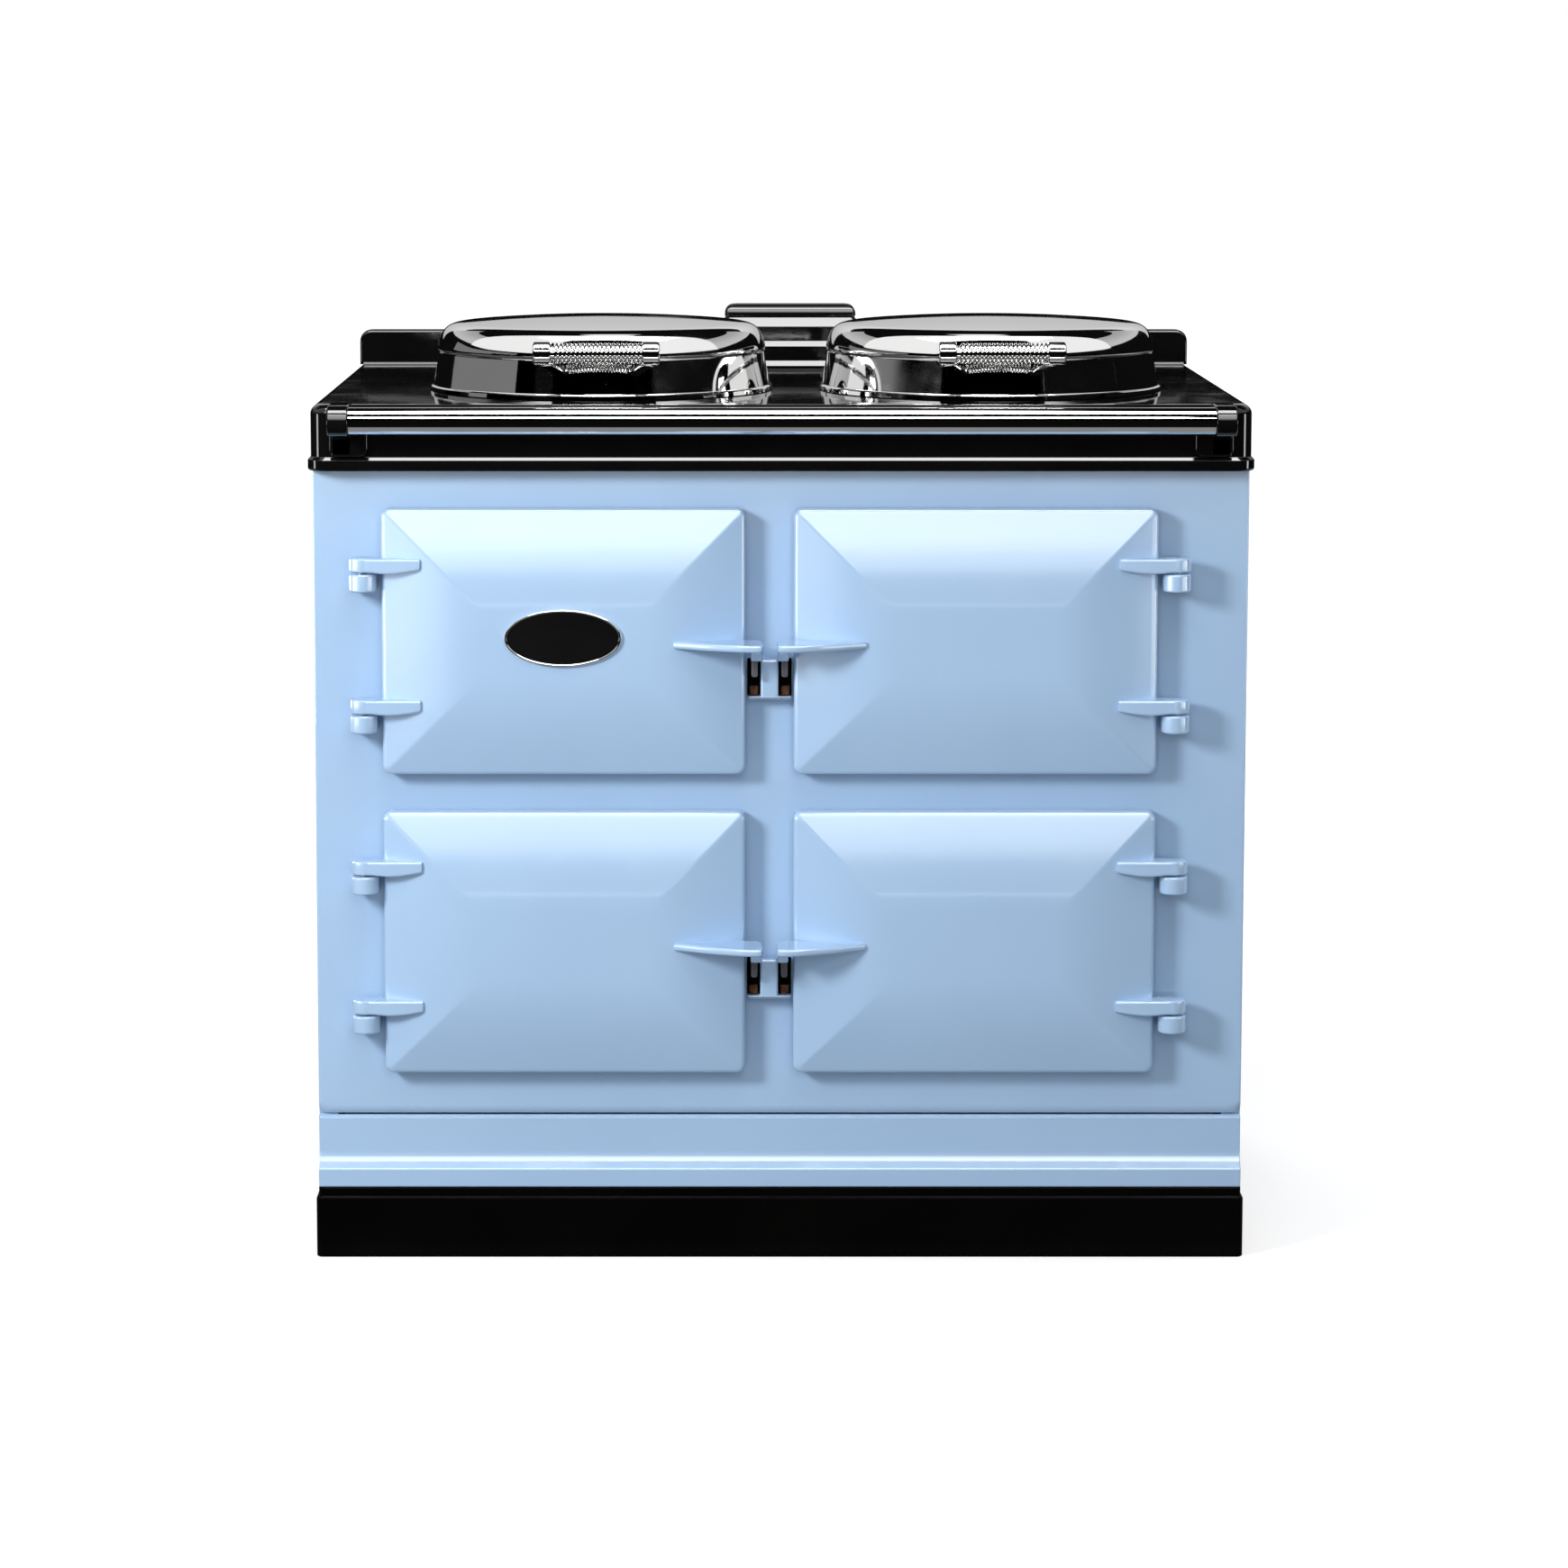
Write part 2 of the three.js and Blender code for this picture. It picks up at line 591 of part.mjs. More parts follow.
function topPlate() {
  const level = (z, grow) => roundedRectangle(
    -HALF_W - TOP_SIDE - grow,
    HALF_W + TOP_SIDE + grow,
    -TOP_FRONT - grow,
    BODY_D + TOP_REAR,
    TOP_CORNER_R,
    4,
  ).map(([x, y]) => [x, y, z]);
  const rollStart = HOB_TOP - TOP_ROLL_R;
  const rows = [
    level(FRONT_TOP, TOP_RIM_PROUD - 2),
    level(FRONT_TOP + 3, TOP_RIM_PROUD),
    level(FRONT_TOP + TOP_RIM_H - 3, TOP_RIM_PROUD),
    level(FRONT_TOP + TOP_RIM_H, 0),
  ];
  for (let k = 0; k <= 4; k += 1) {
    const angle = k / 4 * Math.PI / 2;
    rows.push(level(rollStart + TOP_ROLL_R * Math.sin(angle), -TOP_ROLL_R * (1 - Math.cos(angle))));
  }
  const under = box(-HALF_W + TOP_WALL, HALF_W - TOP_WALL, TOP_FRONT_WALL - TOP_FRONT,
    BODY_D, FRONT_TOP - 1, HOB_TOP - TOP_T);
  const holes = [-1, 1].map((which) => move(
    rod(HOTPLATE_R + HOTPLATE_GAP, HOB_TOP - TOP_T - 1, HOB_TOP + 1, LID_SIDES),
    hobX(which),
    LID_Y,
    0,
  ));
  add(cooker, 'top_plate', built([skin(rows)], [under, ...holes]), BLACK_ENAMEL);
}

function hotplate(name, which) {
  const top = HOTPLATE_PROUD;
  const profile = [
    [0, top - HOTPLATE_T], [HOTPLATE_R, top - HOTPLATE_T], [HOTPLATE_R, top - 2],
    [HOTPLATE_R - 2, top], [0, top],
  ];
  add(cooker, name, turned(profile, LID_SIDES), CAST_IRON).position.set(hobX(which), LID_Y, HOB_TOP);
}

function splashback() {
  const outline = roundedRectangle(-SPLASH_W / 2, SPLASH_W / 2, HOB_TOP + SEAT - SPLASH_R,
    HOB_TOP + SPLASH_H, SPLASH_R, 4);
  const slab = alongY(outline, SPLASH_Y, SPLASH_Y + SPLASH_T);
  const below = box(-SPLASH_W, SPLASH_W, 0, 2 * BODY_D, HOB_TOP - 2 * SPLASH_R, HOB_TOP + SEAT);
  add(cooker, 'splashback', built([slab], [below]), BLACK_ENAMEL);
}

function ventCap() {
  const rear = SPLASH_Y - SEAT;
  const level = (z, inset) => roundedRectangle(
    HOB_OFFSET - VENT_W / 2 + inset,
    HOB_OFFSET + VENT_W / 2 - inset,
    rear - VENT_D + inset,
    rear - Math.max(0, inset) / 4,
    4,
    2,
  ).map(([x, y]) => [x, y, HOB_TOP + z]);
  const hip = VENT_BODY_H + VENT_HIP_H;
  const rows = [
    level(SEAT, -3), level(VENT_BAND_H, -3), level(VENT_BAND_H + 1, 0),
    level(VENT_BODY_H / 2, 0), level(VENT_BODY_H / 2 + 1, -VENT_BAND_PROUD),
    level(VENT_BODY_H / 2 + VENT_BAND_H, -VENT_BAND_PROUD), level(VENT_BODY_H / 2 + VENT_BAND_H + 1, 0),
    level(VENT_BODY_H, 0), level(hip, VENT_HIP_IN), level(hip + 0.5, VENT_HIP_IN - 2),
    level(hip + 2.5, VENT_HIP_IN - 2),
  ];
  const domeReach = VENT_D / 2 - VENT_HIP_IN - 5;
  for (let k = 1; k <= 4; k += 1) {
    const angle = k / 4 * Math.PI / 2;
    rows.push(level(
      hip + 2.5 + (VENT_DOME_H - 2.5) * Math.sin(angle),
      VENT_HIP_IN - 2 + domeReach * (1 - Math.cos(angle)),
    ));
  }
  add(cooker, 'vent_cap', skin(rows), BLACK_ENAMEL);
}

// ---------------------------------------------------------------- hand rail
const RAIL_Z = HOB_TOP - RAIL_BELOW_TOP;
const BRACKET_END = HALF_W + TOP_SIDE - BRACKET_FROM_SIDE;
const RAIL_HALF = BRACKET_END - BRACKET_CHEEK - BRACKET_W - SEAT;

function handRail() {
  const inner = RAIL_R - RAIL_WALL;
  const wall = [[inner, -RAIL_HALF], [RAIL_R, -RAIL_HALF], [RAIL_R, RAIL_HALF], [inner, RAIL_HALF]];
  const tube = turned([...wall, wall[0]], 20).rotateY(Math.PI / 2);
  add(cooker, 'hand_rail', tube, CHROME).position.set(0, -RAIL_FORWARD, RAIL_Z);
}

function railBracket(name, side) {
  const rear = -TOP_FRONT - SEAT;
  const inner = RAIL_HALF + SEAT;
  const headR = RAIL_R + BRACKET_CHEEK;
  const head = [];
  for (let k = 0; k <= 6; k += 1) {
    const angle = Math.PI / 2 + k / 6 * Math.PI;
    head.push([-RAIL_FORWARD + headR * Math.cos(angle), RAIL_Z + headR * Math.sin(angle)]);
  }
  const foot0 = FRONT_TOP + TOP_RIM_H + 2;
  const top = Math.min(RAIL_Z + RAIL_R, HOB_TOP - TOP_ROLL_R);
  const cheek = [
    ...head,
    [rear - BRACKET_FOOT_D, foot0],
    [rear, foot0],
    [rear, top],
    [rear - 6, RAIL_Z + headR],
  ];
  const arm = alongX(cheek, inner, inner + BRACKET_W);
  const pad = alongY(
    roundedRectangle(BRACKET_END - BRACKET_FOOT_W, BRACKET_END, foot0, foot0 + BRACKET_FOOT_H, 8, 3),
    rear - BRACKET_FOOT_D / 2,
    rear,
  );
  const bracket = built([arm, pad]);
  add(cooker, name, side < 0 ? mirrored(bracket) : bracket, BLACK_ENAMEL);
}

// ---------------------------------------------------------------- doors
// The door's outer form about its own middle: rounded rectangles that shrink as they come
// forward, in a quarter sine wave, so that the four slopes meet in mitred creases.
function doorForm(grow) {
  const row = (y, inset, radius) => roundedRectangle(
    -DOOR_W / 2 + inset - grow,
    DOOR_W / 2 - inset + grow,
    -DOOR_H / 2 + inset - grow,
    DOOR_H / 2 - inset + grow,
    Math.max(0.5, radius),
    4,
  ).map(([x, z]) => [x, y - grow, z]);
  const rows = [
    row(DOOR_BACK + 2 * grow, 0, DOOR_CORNER_R),
    row(DOOR_SHOULDER + DOOR_EDGE_R, 0, DOOR_CORNER_R),
    row(DOOR_SHOULDER + DOOR_EDGE_R * 0.3, DOOR_EDGE_R * 0.3, DOOR_CORNER_R - DOOR_EDGE_R * 0.3),
    row(DOOR_SHOULDER, DOOR_EDGE_R, DOOR_CORNER_R - DOOR_EDGE_R),
  ];
  [0.15, 0.32, 0.5, 0.75, 1].forEach((part) => {
    const rise = DOOR_CROWN * Math.sin(part * Math.PI / 2);
    rows.push(row(DOOR_SHOULDER - rise, DOOR_EDGE_R + part * (PILLOW_RUN - DOOR_EDGE_R), 0.5));
  });
  return skin(rows);
}

function doorHollow() {
  const row = (y, inset) => roundedRectangle(
    -DOOR_W / 2 + inset,
    DOOR_W / 2 - inset,
    -DOOR_H / 2 + inset,
    DOOR_H / 2 - inset,
    2,
    1,
  ).map(([x, z]) => [x, y, z]);
  return skin([
    row(DOOR_BACK + 1, DOOR_WALL),
    row(DOOR_SHOULDER + DOOR_WALL, DOOR_WALL),
    row(DOOR_FACE + DOOR_CROWN * 0.4 + DOOR_WALL, DOOR_WALL + PILLOW_RUN * 0.4),
    row(DOOR_FACE + DOOR_WALL, DOOR_WALL + PILLOW_RUN * 0.85),
  ]);
}

const HINGE_X = -DOOR_W / 2 - PIN_FROM_EDGE; // from a left-hung door's middle
const armHeights = [ARM_ABOVE_MIDDLE, -ARM_BELOW_MIDDLE];

// One hinge arm about the pin, with its leaf lying over the door's face.
function hingeArm(z) {
  const row = (x, y0, y1, z0, z1) => [[x, y0, z0], [x, y1, z0], [x, y1, z1], [x, y0, z1]];
  const [low, high] = [-ARM_H / 2, ARM_H / 2];
  const seat = DOOR_SHOULDER + 3;
  const leaf = skin([
    row(0, -ARM_FRONT, -PIN_FORWARD + KNUCKLE_R - 3, low, high),
    row(PIN_FROM_EDGE, -ARM_FRONT, seat, low, high),
    row(ARM_REACH * 0.72, -ARM_FRONT + 0.5, seat - 3, low + ARM_H * 0.18, high),
    row(ARM_REACH, -ARM_FRONT + 2, seat - 5, low + ARM_H * 0.55, high - 0.5),
  ]);
  const knuckle = move(rod(KNUCKLE_R, low, high, 16), 0, -PIN_FORWARD, 0);
  return [leaf, knuckle].map((shape) => move(shape, HINGE_X, 0, z));
}

function doorShell() {
  const bores = armHeights.map((z) => move(
    rod(PIN_R + RUN, -ARM_H / 2 - 1, -ARM_H / 2 + PIN_RISE + RUN, 12),
    HINGE_X,
    -PIN_FORWARD,
    z,
  ));
  const shell = built([doorForm(0)], [doorHollow()]);
  return built([shell, ...armHeights.flatMap(hingeArm)], bores);
}

function doorPan(depth) {
  const front = DOOR_BACK + SEAT;
  const rim = DOOR_WALL - 1;
  const flange = box(-DOOR_W / 2 + rim, DOOR_W / 2 - rim, front, front + PAN_T,
    -DOOR_H / 2 + rim, DOOR_H / 2 - rim);
  const [w, h] = [MOUTH_W / 2 - PLUG_CLEARANCE, MOUTH_H / 2 - PLUG_CLEARANCE];
  const plug = box(-w, w, front, depth, -h, h);
  const inside = box(-w + PAN_T, w - PAN_T, front - 1, depth - PAN_T, -h + PAN_T, h - PAN_T);
  return built([flange, plug], [inside]);
}

// The handle's fin, seen from above: a leaf with its tip on the door and its widest
// point near the free end, which overhangs the door's edge.
function finOutline() {
  const outer = DOOR_W / 2 + FIN_OVERHANG;
  const tip = outer - FIN_LENGTH;
  const back = DOOR_SHOULDER - 2;
  const bulge = [[0, 0.08], [0.2, 0.32], [0.42, 0.62], [0.65, 0.86], [0.85, 0.99], [0.95, 1], [1, 0.93]];
  const points = bulge.map(([along, out]) => [
    tip + along * FIN_LENGTH,
    DOOR_FACE - out * (FIN_REACH + DOOR_FACE),
  ]);
  return [...points, [outer, back - 12], [outer - 6, back], [tip, back]];
}

function doorHandle() {
  const outer = DOOR_W / 2 + FIN_OVERHANG;
  const low = -FIN_BELOW_MIDDLE - FIN_T / 2;
  const fin = alongZ(finOutline(), low, low + FIN_T);
  const inner = DOOR_W / 2 + LATCH_FROM_EDGE;
  const web = alongX(
    [
      [DOOR_SHOULDER - 2, low + 1], [DOOR_FACE - 22, low + 1], [DOOR_FACE - 8, low - GUSSET_H * 0.35],
      [DOOR_FACE + 4, low - GUSSET_H], [DOOR_SHOULDER - 2, low - GUSSET_H],
    ],
    inner,
    outer - 1,
  );
  const foot0 = low - LATCH_DROP;
  const neckFront = DOOR_SHOULDER - 12;
  const neck = box(inner, inner + LATCH_T, neckFront, DOOR_SHOULDER + 1, foot0, low - GUSSET_H + 2);
  const tongue = box(inner, inner + LATCH_T, neckFront + 6, -LATCH_STOP, foot0, foot0 + LATCH_HEAD_H);
  return built([fin, web, neck, tongue], [doorForm(SEAT)]);
}

function door(place, plugDepth) {
  const { row, side, x, z } = place;
  const group = groupAt(x, 0, z);
  const handed = (geometry) => (side === 'right' ? mirrored(geometry) : geometry);
  const name = `door_${row}_${side}`;
  add(group, `${name}_shell`, handed(doorShell()), BLUE_ENAMEL);
  add(group, `${name}_liner`, handed(doorPan(plugDepth)), STEEL);
  add(group, `${name}_handle`, handed(doorHandle()), BLUE_ENAMEL);
  return group;
}

function badge(group) {
  const ellipse = new THREE.EllipseCurve(0, 0, BADGE_W / 2, BADGE_H / 2);
  const outline = ellipse.getPoints(28).slice(0, -1).map((point) => [point.x, point.y]);
  const plaque = alongY(outline, -BADGE_T, 0);
  add(group, 'badge', plaque, BLACK_ENAMEL).position.set(0, DOOR_FACE - SEAT, BADGE_ABOVE_MIDDLE);
}

// A bracket under each hinge arm, with its upright pin.
function hingeBracket(name, place, armZ) {
  const top = armZ - ARM_H / 2 - HINGE_GAP;
  const barrel = rod(KNUCKLE_R, top - BRACKET_H, top, 16);
  const web = box(-KNUCKLE_R, KNUCKLE_R, 0, PIN_FORWARD - SEAT, top - BRACKET_H, top);
  const pin = rod(PIN_R, top - 2, top + HINGE_GAP + PIN_RISE, 12);
  const bracket = add(cooker, name, built([barrel, web, pin]), BLUE_ENAMEL);
  const side = place.side === 'left' ? 1 : -1;
  bracket.position.set(place.x + side * HINGE_X, -PIN_FORWARD, place.z);
}

function keeper(name, z) {
  const half = DOOR_GAP / 2 - KEEPER_SIDE_GAP;
  const top = -FIN_BELOW_MIDDLE - FIN_T / 2 - GUSSET_H - 1;
  const block = alongY(
    roundedRectangle(-half, half, top - KEEPER_H, top, 3, 2),
    -KEEPER_PROUD,
    -SEAT,
  );
  const pockets = [-1, 1].map((side) => {
    const inner = KEEPER_RIB_W / 2 * side;
    const outer = (half + 1) * side;
    return box(Math.min(inner, outer), Math.max(inner, outer), -KEEPER_PROUD - 1,
      -KEEPER_BACK, top - KEEPER_H + KEEPER_RIM, top + 1);
  });
  add(cooker, name, built([block], pockets), BLUE_ENAMEL).position.set(DOOR_GAP_X, 0, z);
}

// ---------------------------------------------------------------- lids
function lidProfile(grow) {
  const wallR = LID_R - LID_FLANGE;
  const capR = wallR - 6;
  return [
    [LID_R + grow, SEAT], [LID_R + grow, 6], [wallR + grow, 9], [capR + grow, LID_WALL_H],
    [capR + 2 + grow, LID_WALL_H + 3], [capR + 0.5 + grow, LID_APEX_H - 22],
    [capR - 5 + grow, LID_APEX_H - 12], [capR - 13, LID_APEX_H - 8 + grow],
    [capR * 0.85, LID_APEX_H - 6.5 + grow], [capR * 0.4, LID_APEX_H - 1.5 + grow],
    [0, LID_APEX_H + grow],
  ];
}

const LID_INNER_R = LID_R - LID_FLANGE - LID_WALL;
const LINER_LOW = 8;
const LINER_HIGH = 34;
const PIVOT_Y = LID_R + LID_PIVOT_BACK;

function lidCap() {
  const inside = [
    [0, LID_APEX_H - 4], [LID_INNER_R * 0.8, LID_APEX_H - 11], [LID_INNER_R - 12, LID_APEX_H - 16],
    [LID_INNER_R - 6, LID_WALL_H], [LID_INNER_R, LINER_LOW], [LID_INNER_R, SEAT],
  ];
  const shell = turned([...lidProfile(0).reverse(), ...inside.reverse()].reverse(), LID_SIDES);
  const lugStart = LID_INNER_R + 0.6;
  const low = LID_PIVOT_H - LID_KNUCKLE_R;
  const lug = box(-LID_LUG_W / 2, LID_LUG_W / 2, lugStart, PIVOT_Y, low, low + 2 * LID_KNUCKLE_R);
  const knuckle = move(
    rodAlongX(LID_KNUCKLE_R, -LID_LUG_W / 2, LID_LUG_W / 2, 12),
    0,
    PIVOT_Y,
    LID_PIVOT_H,
  );
  const bore = move(rodAlongX(LID_PIN_R + RUN, -LID_LUG_W, LID_LUG_W, 12), 0, PIVOT_Y, LID_PIVOT_H);
  return built([shell, lug, knuckle], [bore]);
}

function lidLiner() {
  const r = LID_INNER_R - 6 * (LINER_HIGH - LINER_LOW) / (LID_WALL_H - LINER_LOW) - 0.4;
  const profile = [
    [0, LINER_LOW], [r - 12, LINER_LOW], [r, LINER_LOW + 6], [r, LINER_HIGH],
    [r - PAN_T, LINER_HIGH], [r - PAN_T, LINER_LOW + 7], [r - 13, LINER_LOW + PAN_T], [0, LINER_LOW + PAN_T],
  ];
  return turned(profile, LID_SIDES);
}

function lidYoke() {
  const y = -LID_R - COIL_FORWARD;
  const inner = COIL_LENGTH / 2 + SEAT;
  const posts = [-1, 1].map((side) => {
    const outline = [[y, COIL_H + YOKE_POST_R]];
    for (let k = 1; k <= 6; k += 1) {
      const angle = Math.PI / 2 + k / 6 * Math.PI;
      outline.push([y + YOKE_POST_R * Math.cos(angle), COIL_H + YOKE_POST_R * Math.sin(angle)]);
    }
    const root = -LID_INNER_R * 0.9;
    outline.push([root, COIL_H - YOKE_POST_R - 4], [root, COIL_H + YOKE_POST_R - 4]);
    const far = inner + YOKE_POST_W;
    return alongX(outline, side < 0 ? -far : inner, side < 0 ? -inner : far);
  });
  const core = move(rodAlongX(COIL_CORE_R, -inner - 1, inner + 1, 12), 0, y, COIL_H);
  return built([...posts, core], [turned([[0, SEAT], ...lidProfile(SEAT)], LID_SIDES)]);
}

// The handle's wound wire: one unbroken tube along a helix about X, whose two ends turn
// out along the axis for one wire diameter, to stand square against the posts.
function coilPath() {
  const radius = COIL_OUTER_R - WIRE_R;
  const wound = COIL_LENGTH - 2 * (2 * WIRE_R + WIRE_R);
  const points = [new THREE.Vector3(-COIL_LENGTH / 2, 0, radius)];
  points.push(new THREE.Vector3(-COIL_LENGTH / 2 + 2 * WIRE_R, 0, radius));
  const steps = COIL_CURLS * COIL_STEPS;
  for (let k = 1; k < steps; k += 1) {
    const angle = k / COIL_STEPS * 2 * Math.PI;
    points.push(new THREE.Vector3(
      -wound / 2 + wound * k / steps,
      radius * Math.sin(angle),
      radius * Math.cos(angle),
    ));
  }
  points.push(new THREE.Vector3(COIL_LENGTH / 2 - 2 * WIRE_R, 0, radius));
  points.push(new THREE.Vector3(COIL_LENGTH / 2, 0, radius));
  return points;
}

// A tube of few sides through the path's points. The section is carried on from point to
// point by the smallest turn, and faces straight along X at both ends.
function wire(points) {
  const rows = [];
  let across = new THREE.Vector3(0, 1, 0);
  points.forEach((point, k) => {
    const back = points[Math.max(0, k - 1)];
    const ahead = points[Math.min(points.length - 1, k + 1)];
    const tangent = ahead.clone().sub(back).normalize();
    across = across.clone().addScaledVector(tangent, -across.dot(tangent)).normalize();
    const up = tangent.clone().cross(across);
    const row = [];
    for (let side = 0; side < COIL_SIDES; side += 1) {
      const angle = side / COIL_SIDES * 2 * Math.PI;
      const corner = point.clone()
        .addScaledVector(across, WIRE_R * Math.cos(angle))
        .addScaledVector(up, WIRE_R * Math.sin(angle));
      row.push(corner.toArray());
    }
    rows.push(row);
  });
  return skin(rows);
}

// The least gap between stretches of the wire that are more than half a curl apart.
function leastCoilGap(points) {
  let least = Infinity;
  points.forEach((point, k) => {
    points.slice(k + COIL_STEPS / 2).forEach((other) => {
      least = Math.min(least, point.distanceTo(other));
    });
  });
  return least - 2 * WIRE_R;
}

function lid(name, which) {
  const group = groupAt(hobX(which), LID_Y, HOB_TOP);
  add(group, `lid_${name}_cap`, lidCap(), CHROME);
  add(group, `lid_${name}_liner`, lidLiner(), STEEL);
  add(group, `lid_${name}_yoke`, lidYoke(), CHROME);
  const coil = add(group, `lid_${name}_coil`, wire(coilPath()), CHROME);
  coil.position.set(0, -LID_R - COIL_FORWARD, COIL_H);
}

// The pair of ears on the top plate that hold a lid's hinge pin.
function lidHinge(name, which) {
  const inner = LID_LUG_W / 2 + LID_EAR_GAP;
  const outer = inner + LID_EAR_W;
  const front = PIVOT_Y - LID_KNUCKLE_R;
  const ears = [-1, 1].flatMap((side) => {
    const [x0, x1] = side < 0 ? [-outer, -inner] : [inner, outer];
    const cheek = box(x0, x1, front, PIVOT_Y + LID_KNUCKLE_R + 6, SEAT, LID_PIVOT_H);
    return [cheek, move(rodAlongX(LID_KNUCKLE_R, x0, x1, 12), 0, PIVOT_Y, LID_PIVOT_H)];
  });
  const sole = box(-outer, outer, front, PIVOT_Y + LID_KNUCKLE_R + 6, SEAT, 4);
  const pin = move(rodAlongX(LID_PIN_R, -outer, outer, 12), 0, PIVOT_Y, LID_PIVOT_H);
  const block = add(cooker, `lid_hinge_${name}`, built([sole, ...ears, pin]), CHROME);
  block.position.set(hobX(which), LID_Y, HOB_TOP);
}

// ---------------------------------------------------------------- assembly
plinth();
baseFrame();
feet();
skirting();
frontPlate();
sidePanel('side_panel_left', -1);
sidePanel('side_panel_right', 1);
rearPanel();
lagging();
controlPanel(LEFT_DOOR_X, UPPER_DOOR_Z);
ovenLiner('roasting_oven', RIGHT_DOOR_X, UPPER_DOOR_Z, CAST_IRON);
ovenLiner('baking_oven', RIGHT_DOOR_X, LOWER_DOOR_Z, CAST_IRON);
ovenLiner('simmering_oven', LEFT_DOOR_X, LOWER_DOOR_Z, CAST_IRON);
shelf('roasting_shelf', RIGHT_DOOR_X, UPPER_DOOR_Z);
shelf('baking_shelf', RIGHT_DOOR_X, LOWER_DOOR_Z);
shelf('simmering_shelf', LEFT_DOOR_X, LOWER_DOOR_Z);
topPlate();
hotplate('boiling_plate', -1);
hotplate('simmering_plate', 1);
splashback();
ventCap();
handRail();
railBracket('rail_bracket_left', -1);
railBracket('rail_bracket_right', 1);

doorPlaces.forEach((place, which) => {
  const group = door(place, which === 0 ? PANEL_PLUG_DEPTH : PLUG_DEPTH);
  if (which === 0) badge(group);
  armHeights.forEach((z, arm) => {
    const end = arm === 0 ? 'top' : 'bottom';
    hingeBracket(`hinge_bracket_${place.row}_${place.side}_${end}`, place, z);
  });
});
keeper('latch_keeper_upper', UPPER_DOOR_Z);
keeper('latch_keeper_lower', LOWER_DOOR_Z);

lid('left', -1);
lid('right', 1);
lidHinge('left', -1);
lidHinge('right', 1);
console.log(`least gap between the lid handles' curls: ${leastCoilGap(coilPath()).toFixed(2)} mm`);

const frontReach = RAIL_FORWARD + RAIL_R + BRACKET_CHEEK;
cooker.position.y = (frontReach - BODY_D - TOP_REAR) / 2;

export default cooker;
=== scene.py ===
"""Looks of a cast iron range cooker with four pillowed doors and two domed lids.

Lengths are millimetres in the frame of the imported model: +Z up, the doors face -Y. Only the
studio's are metres. Every piece is a surface worked out with numpy, and its place is in its
own mesh.
"""
import math

import bmesh
import bpy
import numpy as np
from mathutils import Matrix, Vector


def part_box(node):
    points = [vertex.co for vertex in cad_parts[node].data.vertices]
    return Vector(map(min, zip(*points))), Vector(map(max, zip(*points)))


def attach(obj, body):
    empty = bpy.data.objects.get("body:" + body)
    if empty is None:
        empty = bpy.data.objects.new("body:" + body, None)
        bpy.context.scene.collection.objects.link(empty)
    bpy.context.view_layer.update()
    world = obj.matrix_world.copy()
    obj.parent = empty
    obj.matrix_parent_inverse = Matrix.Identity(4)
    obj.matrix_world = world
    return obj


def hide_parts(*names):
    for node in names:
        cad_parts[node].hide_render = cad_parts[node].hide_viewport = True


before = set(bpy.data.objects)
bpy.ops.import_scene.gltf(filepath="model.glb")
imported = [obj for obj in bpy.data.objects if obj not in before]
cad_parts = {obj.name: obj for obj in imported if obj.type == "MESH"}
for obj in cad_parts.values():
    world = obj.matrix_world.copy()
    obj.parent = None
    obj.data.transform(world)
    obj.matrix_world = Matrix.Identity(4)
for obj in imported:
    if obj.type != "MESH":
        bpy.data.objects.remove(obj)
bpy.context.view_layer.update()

MM = 0.001
QUARTER = math.pi / 2  # a quarter turn
UP = [0, 0, 1]
DOME_Z = 0.9  # height in metres of the point that the reflection cards stand around
# The finishes whose pieces a reflection card can be limited to
MIRRORS = {
    "Enamelled pieces": ("blue_enamel", "black_enamel", "badge_black"),
    "Blue pieces": ("blue_enamel",),
    "Chromed pieces": ("chrome",),
}
SEEN_BY = {name: bpy.data.collections.new(name) for name in MIRRORS}


def sort_by_finish(piece, finish):
    """Links a piece to the collections that the reflection cards can be limited to."""
    for name, finishes in MIRRORS.items():
        if finish in finishes:
            SEEN_BY[name].objects.link(piece)


def span(node):
    """A CAD node's lowest and highest corners, in millimetres."""
    low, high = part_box(node)
    return np.array(low) / MM, np.array(high) / MM


# ---------------------------------------------------------------- sizes read from the frame
FRONT = span("front_plate")[0][1]  # the front plate's face
SEAT = 0.3  # gap between two pieces that sit on each other
BODY_LOW, BODY_HIGH = span("front_plate")
HALF_W = BODY_HIGH[0]
HOB_TOP = span("top_plate")[1][2]
REAR = span("rear_panel")[0][1] + 4  # the rear panel's outer face

DOOR_NAMES = ["door_upper_left", "door_upper_right", "door_lower_left", "door_lower_right"]
LID_NAMES = ["lid_left", "lid_right"]
DOOR_AT = {name: np.mean(span(f"{name}_liner"), axis=0) for name in DOOR_NAMES}
LID_AT = {name: np.mean(span(f"{name}_coil"), axis=0) for name in LID_NAMES}
RIM_GAP = 7  # from a door's edge to its inner pan's flange
DOOR_W, _, DOOR_H = np.subtract(*span("door_upper_left_liner")[::-1]) + 2 * RIM_GAP
DOOR_GAP_X = np.mean(span("latch_keeper_upper"), axis=0)[0]
HOTPLATE_Y = np.mean(span("boiling_plate"), axis=0)[1]

